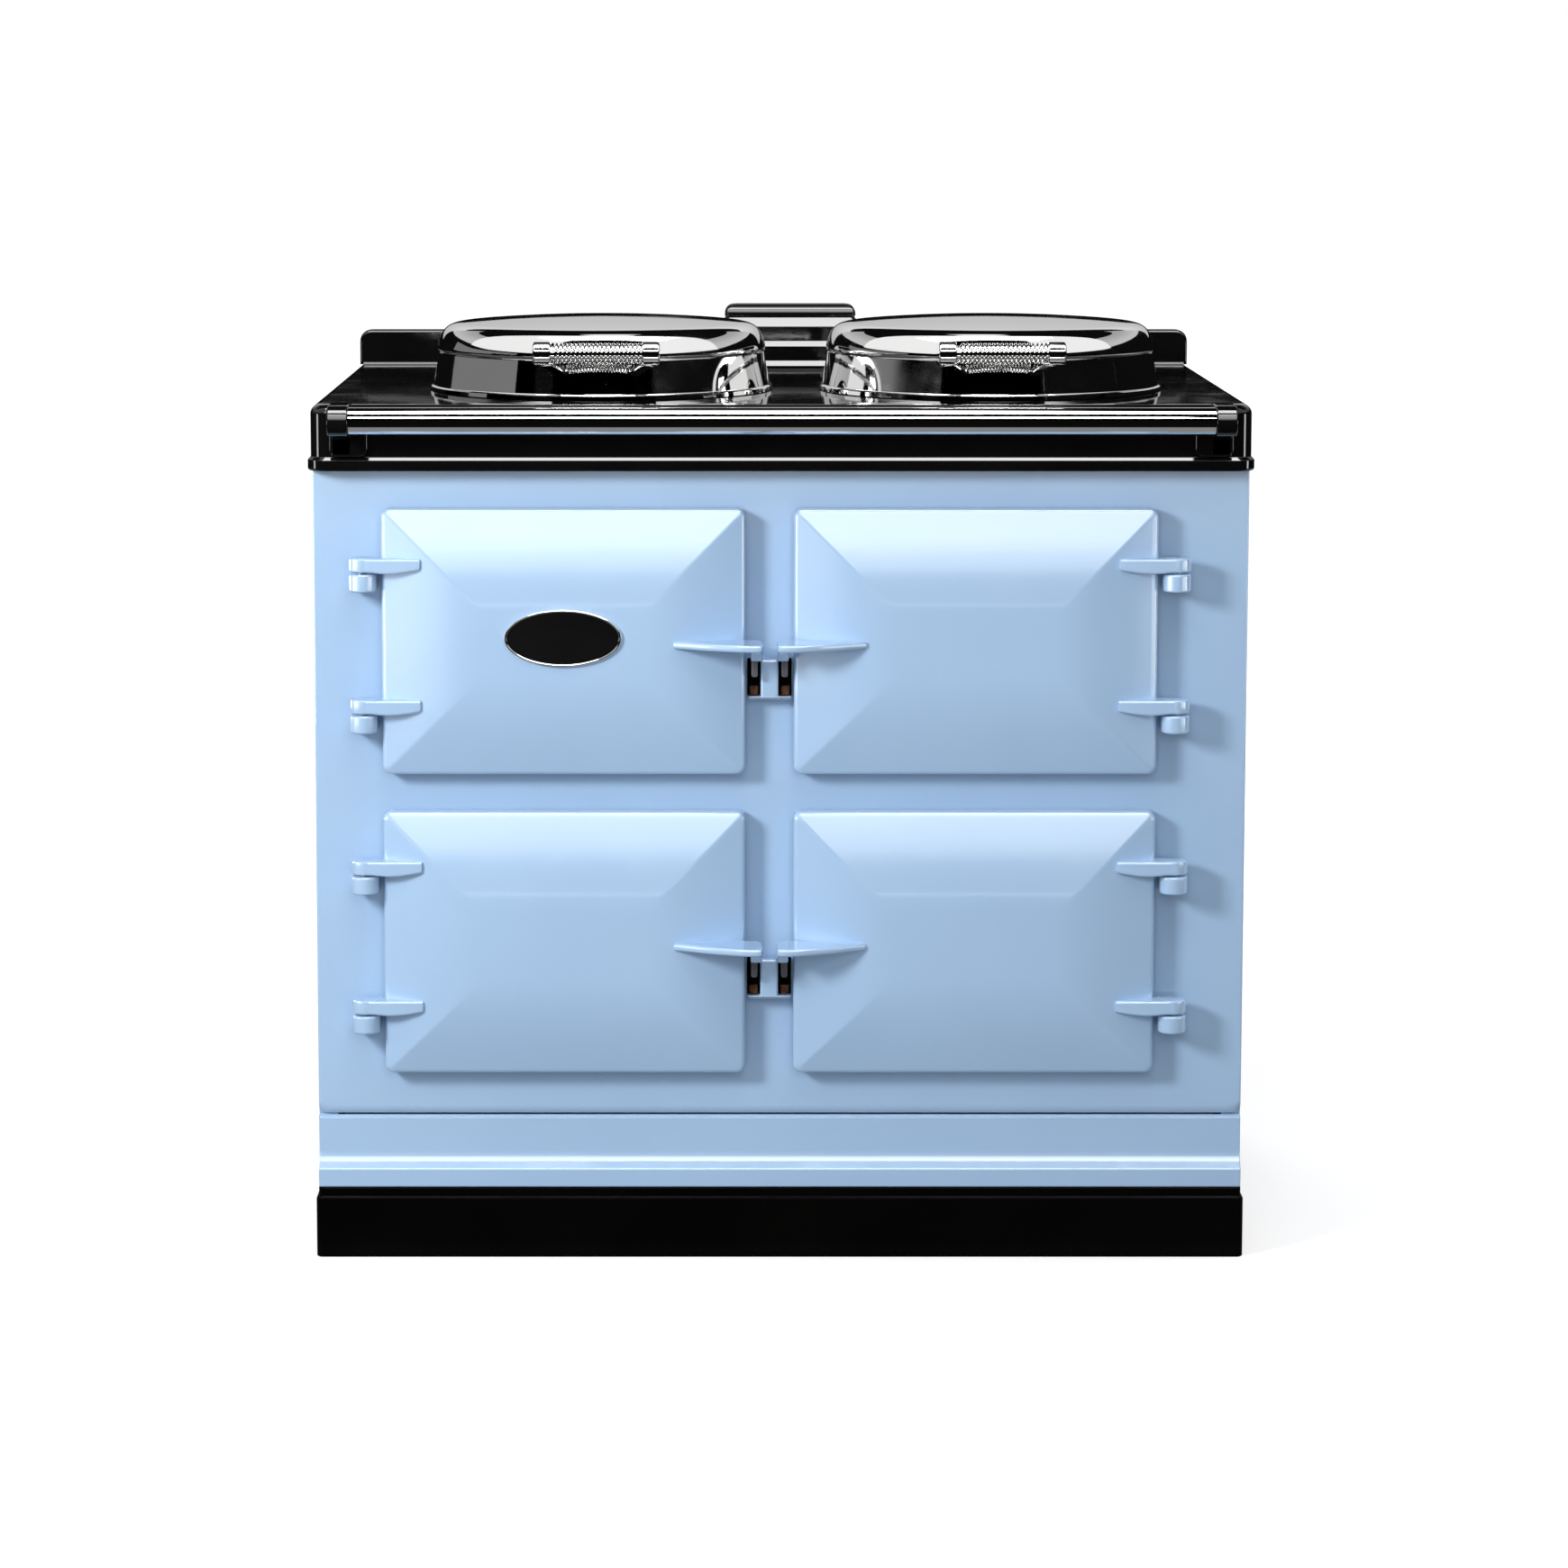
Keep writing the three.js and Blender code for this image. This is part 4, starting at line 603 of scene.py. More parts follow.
def control_fascia():
    """The panel behind the upper left door: two knobs with printed ticks, and two lamps. A tick
    is a bar along a knob's radius, and the ticks share out an arc evenly."""
    x, _, z = DOOR_AT["door_upper_left"]
    tray_depth = 18
    face = span("control_panel")[1][1] - tray_depth
    half_w, half_h, screw_in, knob_x, knob_up, lamp_x, lamp_down = 165, 117, 11, 78, 8, 16, 70
    tick_from, tick_to, tick_half, tick_arc, tick_count = 28, 35, 0.7, 130, 11
    outline = rounded_rectangle(x - half_w, x + half_w, z - half_h, z + half_h, 8)
    fascia = slab(outline, "y", face - 3, face + 0.5, 1)
    head = [[0, -5], [2.5, -4.9], [4, -3.6], [4, 0], [0, 0]]
    screws = [turned(head, [x + side * (half_w - screw_in), face, z + end * (half_h - screw_in)], "y", 20)
              for side in (-1, 1) for end in (-1, 1)]
    make("control_fascia", [fascia, *screws], "panel_black", "root")
    knobs, ticks = [], []
    skirt = [[0, -22], [13, -22], [15.5, -20], [16.5, -8], [22, -6], [23, -3], [0, -3]]
    for middle in (x - knob_x, x + knob_x):
        knobs.append(turned(skirt, [middle, face, z + knob_up], "y", 64))
        grip_z = [z + knob_up - 18, z + knob_up + 18]
        knobs.append(brick([middle - 3, middle + 3], [face - 27, face - 19], grip_z, 1.5, 2.5))
        for turn in np.radians(np.linspace(-tick_arc, tick_arc, tick_count)):
            outward = np.array([math.sin(turn), math.cos(turn)])
            across = tick_half * np.array([outward[1], -outward[0]])
            start, end = tick_from * outward, tick_to * outward
            outline = np.array([middle, z + knob_up]) + [start - across, start + across,
                                                         end + across, end - across]
            ticks.append(slab(outline, "y", face - 3.4, face - 2.9, 0.05, 1))
    make("control_knobs", knobs, "panel_black", "root")
    make("control_dial_ticks", ticks, "dial_white", "root")
    lens = [[0, -7], [4, -6.2], [6, -4.5], [6.5, -3], [0, -3]]
    lamps = [turned(lens, [middle, face, z - lamp_down], "y", 32) for middle in (x - lamp_x, x + lamp_x)]
    make("control_lamps", lamps, "roller_brown", "root")


# ---------------------------------------------------------------- top plate
def top_plate():
    """A hollow casting: a bead with a sloping shoulder, upright sides and a rolled edge, with
    two round holes in its top. The rows of outlines go from the inner foot over the outside to
    the top: the bead's foot and the rolled edge are quarter circles."""
    low, high = span("top_plate")
    bead, foot = 3.0, low[2]
    half_w, front, rear = high[0] - bead, low[1] + bead, high[1]
    roll, corner, bead_h, thick, edge, flat_in, hole_gap = 10, 20, 14, 8, 1.5, 22, 2.5
    split = np.mean([LID_AT[name][0] for name in LID_NAMES])

    def level(z, grow):
        w = half_w + grow
        return standing(rounded_rectangle(-w, w, front - grow, rear, corner, 12, 1.5, [split]), z, "z")

    def square(limits, z):
        return standing(rounded_rectangle(*limits, 0, 12, 0, [split]), z, "z")

    inside = (15.5 - half_w, half_w - 15.5, front + 28, rear - 10)
    flat = (flat_in - half_w, half_w - flat_in, front + flat_in, rear - flat_in)
    under = HOB_TOP - thick
    rows = [square(inside, under), square(inside, foot), level(foot, bead * 0.2)]
    rows += [level(foot + bead * (1 - math.cos(a)), bead * (0.2 + 0.8 * math.sin(a)))
             for a in np.linspace(0.2, 1, 5) * QUARTER]
    rows += [level(foot + bead_h + rise, grow)
             for rise, grow in ((-2.9, bead), (-2.4, bead - 0.2), (0, 0.4), (0.6, 0.1), (1.2, 0))]
    rows += [level(HOB_TOP - roll + roll * math.sin(a), -roll * (1 - math.cos(a)))
             for a in np.linspace(0, QUARTER, 10)]
    shells = [sleeve([*rows, square(flat, HOB_TOP)])]
    hole_r = np.subtract(*span("boiling_plate")[::-1])[0] / 2 + hole_gap
    for name in LID_NAMES:
        x, y = LID_AT[name][0], HOTPLATE_Y

        def hole(z, grow):
            r = hole_r + grow
            return standing(rounded_rectangle(x - r, x + r, y - r, y + r, r, 32, 0), z, "z")

        for z, (left, right, y0, y1), loop in ((HOB_TOP, flat, hole(HOB_TOP, edge)),
                                               (under, inside, hole(under, 0))):
            x0, x1 = (left, split) if x < split else (split, right)
            shells.append(cell([[x1, y1, z], [x0, y1, z], [x0, y0, z], [x1, y0, z]], loop))
        shells.append(sleeve([hole(HOB_TOP, edge), hole(HOB_TOP - 0.3 * edge, 0.3 * edge),
                              hole(HOB_TOP - edge, 0), hole(under, 0)]))
    make("enamelled_top_plate", shells, "black_enamel", "root", ["top_plate"])


def hotplates():
    """Machined discs with a bevelled rim and a shallow turned groove near it."""
    for name in ("boiling_plate", "simmering_plate"):
        low, high = span(name)
        centre = np.mean([low, high], axis=0) * [1, 1, 0]
        r, foot, top, groove = (high[0] - low[0]) / 2, low[2], high[2], 0.6
        profile = [[0, foot], [r - 2, foot], [r, foot + 2], [r, top - 2.5], [r - 0.7, top - 0.7],
                   [r - 2.5, top], [r - 8, top], [r - 8.6, top - groove], [r - 9.6, top - groove],
                   [r - 10.2, top], [r / 2, top], [0, top]]
        make(f"{name}_disc", [turned(profile, centre, sides=128)], "hotplate_iron", "root", [name])


def splashback():
    """An upright slab with rounded upper corners and softly rounded rims, and a quarter round
    bead along its foot."""
    low, high = span("splashback")
    corners = [[low[0], low[2]], [high[0], low[2]], [high[0], high[2]], [low[0], high[2]]]
    foot_ease, corner, bead = 0.8, 15, 3.5
    outline = eased(corners, [foot_ease, foot_ease, corner, corner], 8)
    turn = np.linspace(math.pi, 1.5 * math.pi, 7)
    bead_outline = np.column_stack([low[1] + 1 + bead * np.cos(turn), low[2] - bead * np.sin(turn)])
    bead_outline = np.vstack([bead_outline, [[low[1] + 1, low[2]]]])
    foot = slab(bead_outline, "x", low[0] + 4, high[0] - 4, 0.3, 2)
    make("enamelled_splashback", [slab(outline, "y", low[1], high[1], 3, 5), foot], "black_enamel", "root",
         ["splashback"])


def vent_cap():
    """A square flue cap: rounded rectangles that step in and out at the bands, lean in at the
    hip, and close in a low dome, whose height goes with sin a and its inset with
    1 - cos a to the power 0.8."""
    low, high = span("vent_cap")
    middle, half, rear, deep = (low[0] + high[0]) / 2, (high[0] - low[0]) / 2 - 3, high[1], 40

    def level(z, inset, radius=4):
        outline = rounded_rectangle(middle - half + inset, middle + half - inset, rear - deep + inset,
                                    rear - max(0, inset) / 4, radius, 5)
        return standing(outline, HOB_TOP + z, "z")

    foot_band = [(SEAT, -2.4), (0.9, -3), (1.6, -3), (6.8, 0.9), (7.3, 1.2)]
    middle_band = [(23, 1.2), (23.2, -2.6), (23.6, -3), (24.4, -3), (29.9, 0.9), (30.4, 1.2)]
    hip = [(46.2, 1.2), (47.4, 0.5), (58.4, 8.6), (59, 8.6), (59.1, 7.4), (59.6, 7), (61, 7), (61.6, 7.2)]
    rows = [level(z, inset) for z, inset in foot_band + middle_band + hip]
    dome_foot, dome_h, dome_inset, dome_run = 61.5, 11.4, 7, 12.4
    rows += [level(dome_foot + dome_h * math.sin(a), dome_inset + dome_run * (1 - math.cos(a) ** 0.8), 3.5)
             for a in np.linspace(0.1, 1, 9) * QUARTER]
    make("flue_vent_cap", [loft(rows)], "black_enamel", "root", ["vent_cap"], sharp=30)


# ---------------------------------------------------------------- hand rail
def hand_rail():
    """A thin-walled tube, and the two brackets that hold its ends."""
    low, high = span("hand_rail")
    y, z = (low[1] + high[1]) / 2, (low[2] + high[2]) / 2
    outer, inner, half = (high[2] - low[2]) / 2, (high[2] - low[2]) / 2 - 1.5, high[0]
    wall = [[inner, -half], [outer, -half], [outer, half], [inner, half]]
    make("chrome_hand_rail", [turned(wall, [0, y, z], "x", 64, closed=True)], "chrome", "root", ["hand_rail"])
    for name, hand in (("rail_bracket_left", -1), ("rail_bracket_right", 1)):
        low, high = span(name)
        head, foot, rear = outer + 2, low[2], high[1]
        turn = np.linspace(QUARTER, 3 * QUARTER, 19)
        round_head = np.column_stack([y + head * np.cos(turn), z + head * np.sin(turn)])
        cheek = [*round_head, [rear - 15, z - head], [rear - 11, z - head - 2], [rear - 9, z - head - 6],
                 [rear - 9, foot + 1], [rear, foot + 1], [rear, z + 14], [rear - 7, z + head]]
        inner_x, outer_x, pad_w, pad_h, pad_t = half + SEAT, half + SEAT + 22, 40, 30, 9
        arm = slab(np.array(cheek), "x", inner_x, outer_x, 2.2, 4)
        pad_outline = rounded_rectangle(outer_x + 2 - pad_w, outer_x + 2, foot, foot + pad_h, 8, 6)
        pad = slab(pad_outline, "y", rear - pad_t, rear, 2.5, 4)
        shells = [moved(shell, hand=hand) for shell in (arm, pad)]
        make(f"enamelled_{name}", shells, "black_enamel", "root", [name])


# ---------------------------------------------------------------- doors
def pillow_rise(inset):
    """How far the door stands out of its shoulder: a quarter sine wave from the edge to the
    flat middle, which the four slopes share, so that they meet in mitred creases."""
    along = (inset - DOOR_EDGE_R) / (PILLOW_RUN - DOOR_EDGE_R)
    return DOOR_CROWN * math.sin(QUARTER * along)


def door_skin():
    """Rounded rectangles from the back edge to the flat middle: an upright edge, a round
    that ends at the slope's own angle, and the pillow."""
    start_slope = math.atan(QUARTER * DOOR_CROWN / (PILLOW_RUN - DOOR_EDGE_R))
    edge_turn = np.linspace(0, QUARTER - start_slope, 7)
    edge_inset = DOOR_EDGE_R * (1 - np.cos(edge_turn))
    edge_reach = DOOR_EDGE_R * np.sin(edge_turn)
    end_y = DOOR_SHOULDER - pillow_rise(edge_inset[-1])
    levels = [(DOOR_BACK, 1.5), (DOOR_BACK - 0.4, 0.4), (DOOR_BACK - 1.5, 0)]
    levels += [(end_y + edge_reach[-1] - reach, inset) for inset, reach in zip(edge_inset, edge_reach)]
    levels += [(DOOR_SHOULDER - pillow_rise(inset), inset)
               for inset in np.linspace(edge_inset[-1], PILLOW_RUN, 28)[1:]]
    rows = []
    for y, inset in levels:
        radius = max(CREASE_R, DOOR_CORNER_R - inset)
        outline = rounded_rectangle(-DOOR_W / 2 + inset, DOOR_W / 2 - inset, -DOOR_H / 2 + inset,
                                    DOOR_H / 2 - inset, radius, 8)
        rows.append(standing(outline, y, "y"))
    return loft(rows)


def hinge_arm(z):
    """A cast strap from the pin to the door's slope: sections along X that thin to a blunt tip,
    with a round knuckle about the pin. Beside the door's edge it is as deep as the knuckle. A
    station is [x, rear, how far the front stands back, the foot's rise, the top's drop]."""
    low, high, front = z - ARM_H / 2, z + ARM_H / 2, PIN_Y - KNUCKLE_R
    deep, shallow = PIN_Y + KNUCKLE_R - 0.5, DOOR_SHOULDER + 2
    stations = [[-0.5, deep, 0.3, 0.3, 0.3], [10, deep, 0.3, -0.3, 0.3], [20, deep, 0.3, -1.4, 0.3],
                [26, shallow, 0.3, -1.6, 0.3], [36, shallow, 0.5, -1.2, 0.3], [48, shallow, 1.0, 0.2, 0.4],
                [57, shallow, 1.6, 1.6, 0.5], [60, shallow, 2.2, 2.4, 0.9], [61, shallow, 3.6, 3.8, 2.0]]
    rows = []
    for x, rear, back_off, foot_rise, top_drop in stations:
        section = rounded_rectangle(front + back_off, rear, low + foot_rise, high - top_drop, 2.4, 5, 0.4)
        rows.append(standing(section, x, "x"))
    profile = [[0, low], [KNUCKLE_R - 2.2, low], [KNUCKLE_R - 0.6, low + 0.6], [KNUCKLE_R, low + 2.2],
               [KNUCKLE_R, high - 2.2], [KNUCKLE_R - 0.6, high - 0.6], [KNUCKLE_R - 2.2, high], [0, high]]
    pin_x = -DOOR_W / 2 - PIN_FROM_EDGE
    return [moved(loft(rows), x=pin_x), turned(profile, [pin_x, PIN_Y, 0], sides=48)]


def door_shell(name, hand):
    """The pillowed door with its two hinge arms."""
    x, _, z = DOOR_AT[name]
    arms = hinge_arm(ARM_ABOVE_MIDDLE) + hinge_arm(-ARM_BELOW_MIDDLE)
    shells = [moved(shell, x, 0, z, hand) for shell in [door_skin(), *arms]]
    make(f"pillowed_{name}", shells, "blue_enamel", name, [f"{name}_shell"])


def door_pan(name):
    """The pressed inner pan: out over the flange, down the plug's wall and over its floor,
    which has a raised panel; the inside follows 2 mm behind."""
    x, _, z = DOOR_AT[name]
    low, high = span(f"{name}_liner")
    front, floor, sheet = low[1], high[1], 2
    flange_w, flange_h = DOOR_W / 2 - RIM_GAP, DOOR_H / 2 - RIM_GAP
    ledge = 25
    plug_w, plug_h = flange_w - ledge, flange_h - ledge
    inner = [(floor - sheet - 1.5, 34), (floor - sheet, 31), (floor - sheet, 6),
             (floor - sheet - 4, sheet), (front, sheet)]
    outer = [(front + sheet, -3), (front + sheet + 3, 0), (floor - 5, 0), (floor - 3, 1),
             (floor - 1, 3), (floor, 6), (floor, 30), (floor - 1.5, 33)]

    def level(y, inset, w=plug_w, h=plug_h, radius=10.0):
        corner = max(1.5, radius - max(0, inset) / 3)
        w, h = w - inset, h - inset
        return standing(rounded_rectangle(x - w, x + w, z - h, z + h, corner, 6), y, "y")

    flange = [(front, 0.8), (front + 0.6, 0), (front + sheet - 0.6, 0), (front + sheet, 0.8)]
    rows = [level(y, inset) for y, inset in inner]
    rows += [level(y, inset, flange_w, flange_h, 5) for y, inset in flange]
    rows += [level(y, inset) for y, inset in outer]
    make(f"pressed_pan_{name[5:]}", [loft(rows)], "pan_steel", name, [f"{name}_liner"])


def door_handle(name, hand):
    """A flat fin with a leaf-shaped front, a gusset under its end, and below that the steel
    tongue of the latch, beside the door's edge. The front's points are shares of the fin's
    length, from its tip, and of its reach out of the door's face."""
    x, _, z = DOOR_AT[name]
    outer, length, reach = DOOR_W / 2 + 18, 93, 80
    tip, back = outer - length, DOOR_SHOULDER - 2
    low, high = -4.25, 3.25
    bulge = [[0, 0.04], [0.1, 0.17], [0.2, 0.32], [0.31, 0.48], [0.42, 0.62], [0.54, 0.75],
             [0.65, 0.86], [0.75, 0.94], [0.85, 0.99], [0.93, 1.0], [0.98, 0.97], [1, 0.9]]
    front = [[tip + along * length, DOOR_FACE + out * (FRONT - reach - DOOR_FACE)] for along, out in bulge]
    outline = np.array([*front, [outer, back - 12], [outer - 2, back - 4], [outer - 7, back], [tip, back]])
    fin = slab(outline, "z", low, high, 2.6, 4)
    gusset = [[back, low + 2], [DOOR_FACE - 24, low + 2], [DOOR_FACE - 15, low - 1.5],
              [DOOR_FACE - 8, low - 5.5], [DOOR_FACE - 1, low - 12.5], [DOOR_FACE + 4, low - 14],
              [back, low - 14]]
    inner = DOOR_W / 2 + 5.5
    web = slab(eased(gusset, 2, 3), "x", inner, outer - 1, 1.8, 3)
    shells = [moved(shell, x, 0, z, hand) for shell in (fin, web)]
    make(f"fin_handle_{name[5:]}", shells, "blue_enamel", name, [f"{name}_handle"])
    tongue = brick([inner + 0.8, inner + 7.2], [DOOR_SHOULDER - 5, FRONT - 7], [low - 31.8, low - 12], 1.6, 2)
    make(f"latch_tongue_{name[5:]}", [moved(tongue, x, 0, z, hand)], "frame_steel", name)


def badge():
    """A bare oval plaque: a black field that rises by 1 - (1 - t)^2 towards its middle, inside
    a bright half-round rim."""
    low, high = span("badge")
    centre_x, centre_z = (low[0] + high[0]) / 2, (low[2] + high[2]) / 2
    half_w, half_h = (high[0] - low[0]) / 2, (high[2] - low[2]) / 2
    turn = np.linspace(0, 2 * math.pi, 97)[:-1]

    def oval(y, inset):
        return np.column_stack([centre_x + (half_w - inset) * np.cos(turn), np.full_like(turn, y),
                                centre_z + (half_h - inset) * np.sin(turn)])

    sunk, rise, rim_h, rim_half = 1.1, 0.5, 1.6, 1.4
    field = [oval(high[1], 1.5), oval(low[1] + 1.2, 1.5), oval(low[1] + sunk, 3)]
    field += [oval(low[1] + sunk - rise * (1 - (1 - t) ** 2), 3 + t * (half_h - 4))
              for t in np.linspace(0.2, 1, 5)]
    make("oval_badge", [loft(field)], "badge_black", "door_upper_left", ["badge"])
    rim = [oval(low[1] + rim_h - rim_h * math.sin(a), rim_half - rim_half * math.cos(a))
           for a in np.linspace(0, math.pi, 9)]
    rim += [oval(high[1], 2.6), oval(high[1], 0.2)]
    make("oval_badge_rim", [ring(rim)], "chrome", "door_upper_left")


def hinge_bracket(name):
    """The lower half of a hinge: a D-shaped knuckle on the front plate, with its upright pin."""
    low, high = span(name)
    x, foot, knuckle_h, pin_r = (low[0] + high[0]) / 2, low[2], 19, 5
    top = foot + knuckle_h
    turn = np.linspace(math.pi, 2 * math.pi, 25)
    front = np.column_stack([x + KNUCKLE_R * np.cos(turn), PIN_Y + KNUCKLE_R * np.sin(turn)])
    outline = np.vstack([front, [[x + KNUCKLE_R, FRONT - SEAT], [x - KNUCKLE_R, FRONT - SEAT]]])
    knuckle = slab(outline, "z", foot, top, 2.4, 4)
    pin = turned([[0, top - 4], [pin_r, top - 4], [pin_r, high[2] - 1], [pin_r - 1, high[2]], [0, high[2]]],
                 [x, PIN_Y, 0], sides=32)
    make(f"cast_{name}", [knuckle, pin], "blue_enamel", "root", [name])


def latch_keeper(name):
    """The catch between two doors: a back plate, a rounded rib down the middle, a shelf under
    the two open pockets, and in each pocket a roller and a black sheet that is painted shade for the pocket's
    inside."""
    low, high = span(name)
    x, floor = (low[0] + high[0]) / 2, FRONT - 4
    rib, roller_x, roller_r = 9.5, 16.4, 4.6
    # Painted shade: a black sheet at the back of each pocket stands in for the shade inside it.
    lining = []
    for side in (-1, 1):
        x0, x1 = sorted((x + side * (rib - 1), x + side * (high[0] - x)))
        outline = rounded_rectangle(x0, x1, low[2] + 2, high[2], 1, 3)
        lining.append(slab(outline, "y", floor - 0.8, floor + 0.5, 0.3, 2))
    make(f"{name}_pocket_shade", lining, "black_paint", "root")
    plate = slab(rounded_rectangle(low[0], high[0], low[2], high[2], 3, 5), "y", floor, high[1], 1, 3)
    middle = brick([x - rib, x + rib], [low[1], high[1]], [low[2], high[2]], 3, 3)
    shelf = brick([low[0], high[0]], [low[1], high[1]], [low[2], low[2] + 3], 1.2, 1.4)
    make(f"cast_{name}", [plate, middle, shelf], "blue_enamel", "root", [name])
    roller = [[0, 4], [4, 4], [roller_r, 4.8], [roller_r, 12.4], [4, 13.2], [0, 13.2]]
    rollers = [turned(roller, [x + side * roller_x, floor - 5, low[2]], sides=32) for side in (-1, 1)]
    make(f"{name}_rollers", rollers, "roller_brown", "root")


# ---------------------------------------------------------------- lids
def lid_cap(name, centre):
    """The domed lid: a thin-walled profile turned about the upright axis, with the hinge lug.
    The dome drops with the square of the radius, and a cubic curve rounds its shoulder."""
    flange, wall, top, apex, drop, dome_r = 186.5, 183.2, 41, 80, 6.5, 150
    dome = [[r, apex - drop * (r / dome_r) ** 2] for r in np.linspace(0, dome_r, 16)]
    shoulder = bent(dome[-1], [167, 72], [173.5, 68], [178.5, 47], 14)
    outside = [*dome, *shoulder.tolist()]
    outside += [[178.4, 45], [177.6, 43], [176.6, 42.2], [175.9, 41.6], [176.6, top], [wall, 6.8],
                [wall + 0.4, 6.2], [flange - 1.3, 5.6], [flange - 0.6, 4.9], [flange, 0.8],
                [flange - 0.5, SEAT]]
    inside = [[178.5, SEAT], [178.5, 8], [172.5, 41], [171, 56], [166.5, 62], [142.8, 69], [98, 72.5],
              [50, 75], [0, 76]]
    shell = turned(outside + inside, centre, sides=160)
    lug_w, knuckle_r, pin_y, pin_z = 20, 8, flange + 10, 15
    lug = brick([-lug_w, lug_w], [179.1, pin_y], [pin_z - knuckle_r, pin_z + knuckle_r], 1.5, 2)
    barrel = [[4.5, -lug_w], [knuckle_r - 1, -lug_w], [knuckle_r, 1 - lug_w], [knuckle_r, lug_w - 1],
              [knuckle_r - 1, lug_w], [4.5, lug_w]]
    knuckle = turned(barrel, [0, pin_y, pin_z], "x", 32, closed=True)
    shells = [shell] + [moved(piece, *centre) for piece in (lug, knuckle)]
    make(f"domed_{name}", shells, "chrome", name, [f"{name}_cap"], sharp=30)


def lid_liner(name, centre):
    """The shallow dish inside a lid, a pressed sheet that faces the hotplate."""
    low, high = span(f"{name}_liner")
    r = (high[0] - low[0]) / 2
    below = [[0, 8], [r - 40, 8], [r - 38, 9], [r - 34, 9], [r - 32, 8], [r - 13, 8], [r - 5, 9.6],
             [r - 1.2, 12], [r, 15], [r, 33.6], [r - 1, 34]]
    above = [[r - 2, 33.6], [r - 2, 15.4], [r - 4, 12.8], [r - 8, 11], [r - 14, 10], [0, 10]]
    dish = turned(below + above, centre, sides=128)
    make(f"dished_liner_{name[4:]}", [dish], "pan_steel", name, [f"{name}_liner"])


def lid_yoke(name, centre):
    """Two round-nosed posts on the lid's wall, with the core rod of the handle between them."""
    y, z, nose, inner, post = -212.5, 52, 12, 47.3, 19
    turn = np.linspace(QUARTER, 3 * QUARTER, 17)
    front = np.column_stack([y + nose * np.cos(turn), z + nose * np.sin(turn)])
    outline = np.vstack([front, [[-172, 37], [-172, 60]]])
    posts = [slab(outline, "x", *sorted((side * inner, side * (inner + post))), 2.4, 4) for side in (-1, 1)]
    core = turned([[0, -inner - 1], [6.4, -inner - 1], [6.4, inner + 1], [0, inner + 1]], [0, y, z], "x", 32)
    make(f"handle_posts_{name[4:]}", [moved(shell, *centre) for shell in (*posts, core)], "chrome", name,
         [f"{name}_yoke"])


def lid_coil(name):
    """The wound handle: a wire along a helix about X, closed up where it meets the posts."""
    low, high = span(f"{name}_coil")
    centre = np.mean([low, high], axis=0)
    wire_r, outer, curls, steps = 1.6, 11, 20, 28
    half = (high[0] - low[0]) / 2
    turn = np.linspace(0, curls * 2 * math.pi, curls * steps + 1)
    run = np.linspace(-half + wire_r, half - wire_r, len(turn))
    r = outer - wire_r
    path = centre + np.column_stack([run, r * np.sin(turn), r * np.cos(turn)])
    make(f"wound_handle_{name[4:]}", [wire(path, [1, 0, 0], wire_r, 10)], "chrome", name, [f"{name}_coil"])


def lid_hinge(name, centre):
    """Two round-headed ears on a sole, with the pin through them."""
    lug, ear, r, pin_y, pin_z, pin_r = 21, 14, 8, 196.5, 15, 4
    turn = np.linspace(0, math.pi, 17)
    head = np.column_stack([pin_y + r * np.cos(turn), pin_z + r * np.sin(turn)])
    outline = np.vstack([head, [[pin_y - r, SEAT], [pin_y + r + 6, SEAT], [pin_y + r + 6, 6]]])
    ears = [slab(outline, "x", *sorted((side * lug, side * (lug + ear))), 1.5, 3) for side in (-1, 1)]
    end = lug + ear
    sole = brick([-end, end], [pin_y - r, pin_y + r + 6], [SEAT, 4], 1, 1.2)
    pin = turned([[0, -end], [pin_r, -end], [pin_r, end], [0, end]], [0, pin_y, pin_z], "x", 24)
    make(f"forged_{name}", [moved(shell, *centre) for shell in (*ears, sole, pin)], "chrome", "root", [name])


def lid(name):
    """All the pieces of one lid, about the middle of its hotplate."""
    centre = np.array([LID_AT[name][0], HOTPLATE_Y, HOB_TOP])
    lid_cap(name, centre)
    lid_liner(name, centre)
    lid_yoke(name, centre)
    lid_coil(name)
    lid_hinge(f"lid_hinge_{name[4:]}", centre)


# ---------------------------------------------------------------- CAD nodes that stay
def dress_kept_nodes():
    """Gives the CAD solids whose shape is right their finish."""
    kept = {"base_frame": "frame_steel", "side_panel_left": "blue_enamel", "side_panel_right": "blue_enamel",
            "rear_panel": "zinc_sheet", "insulation_block": "lagging", "control_panel": "panel_black",
            "roasting_oven": "oven_iron", "baking_oven": "oven_iron", "simmering_oven": "oven_iron"}
    for node, name in kept.items():
        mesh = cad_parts[node].data
        mesh.materials.clear()
        mesh.materials.append(FINISHES[name])
        sort_by_finish(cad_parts[node], name)


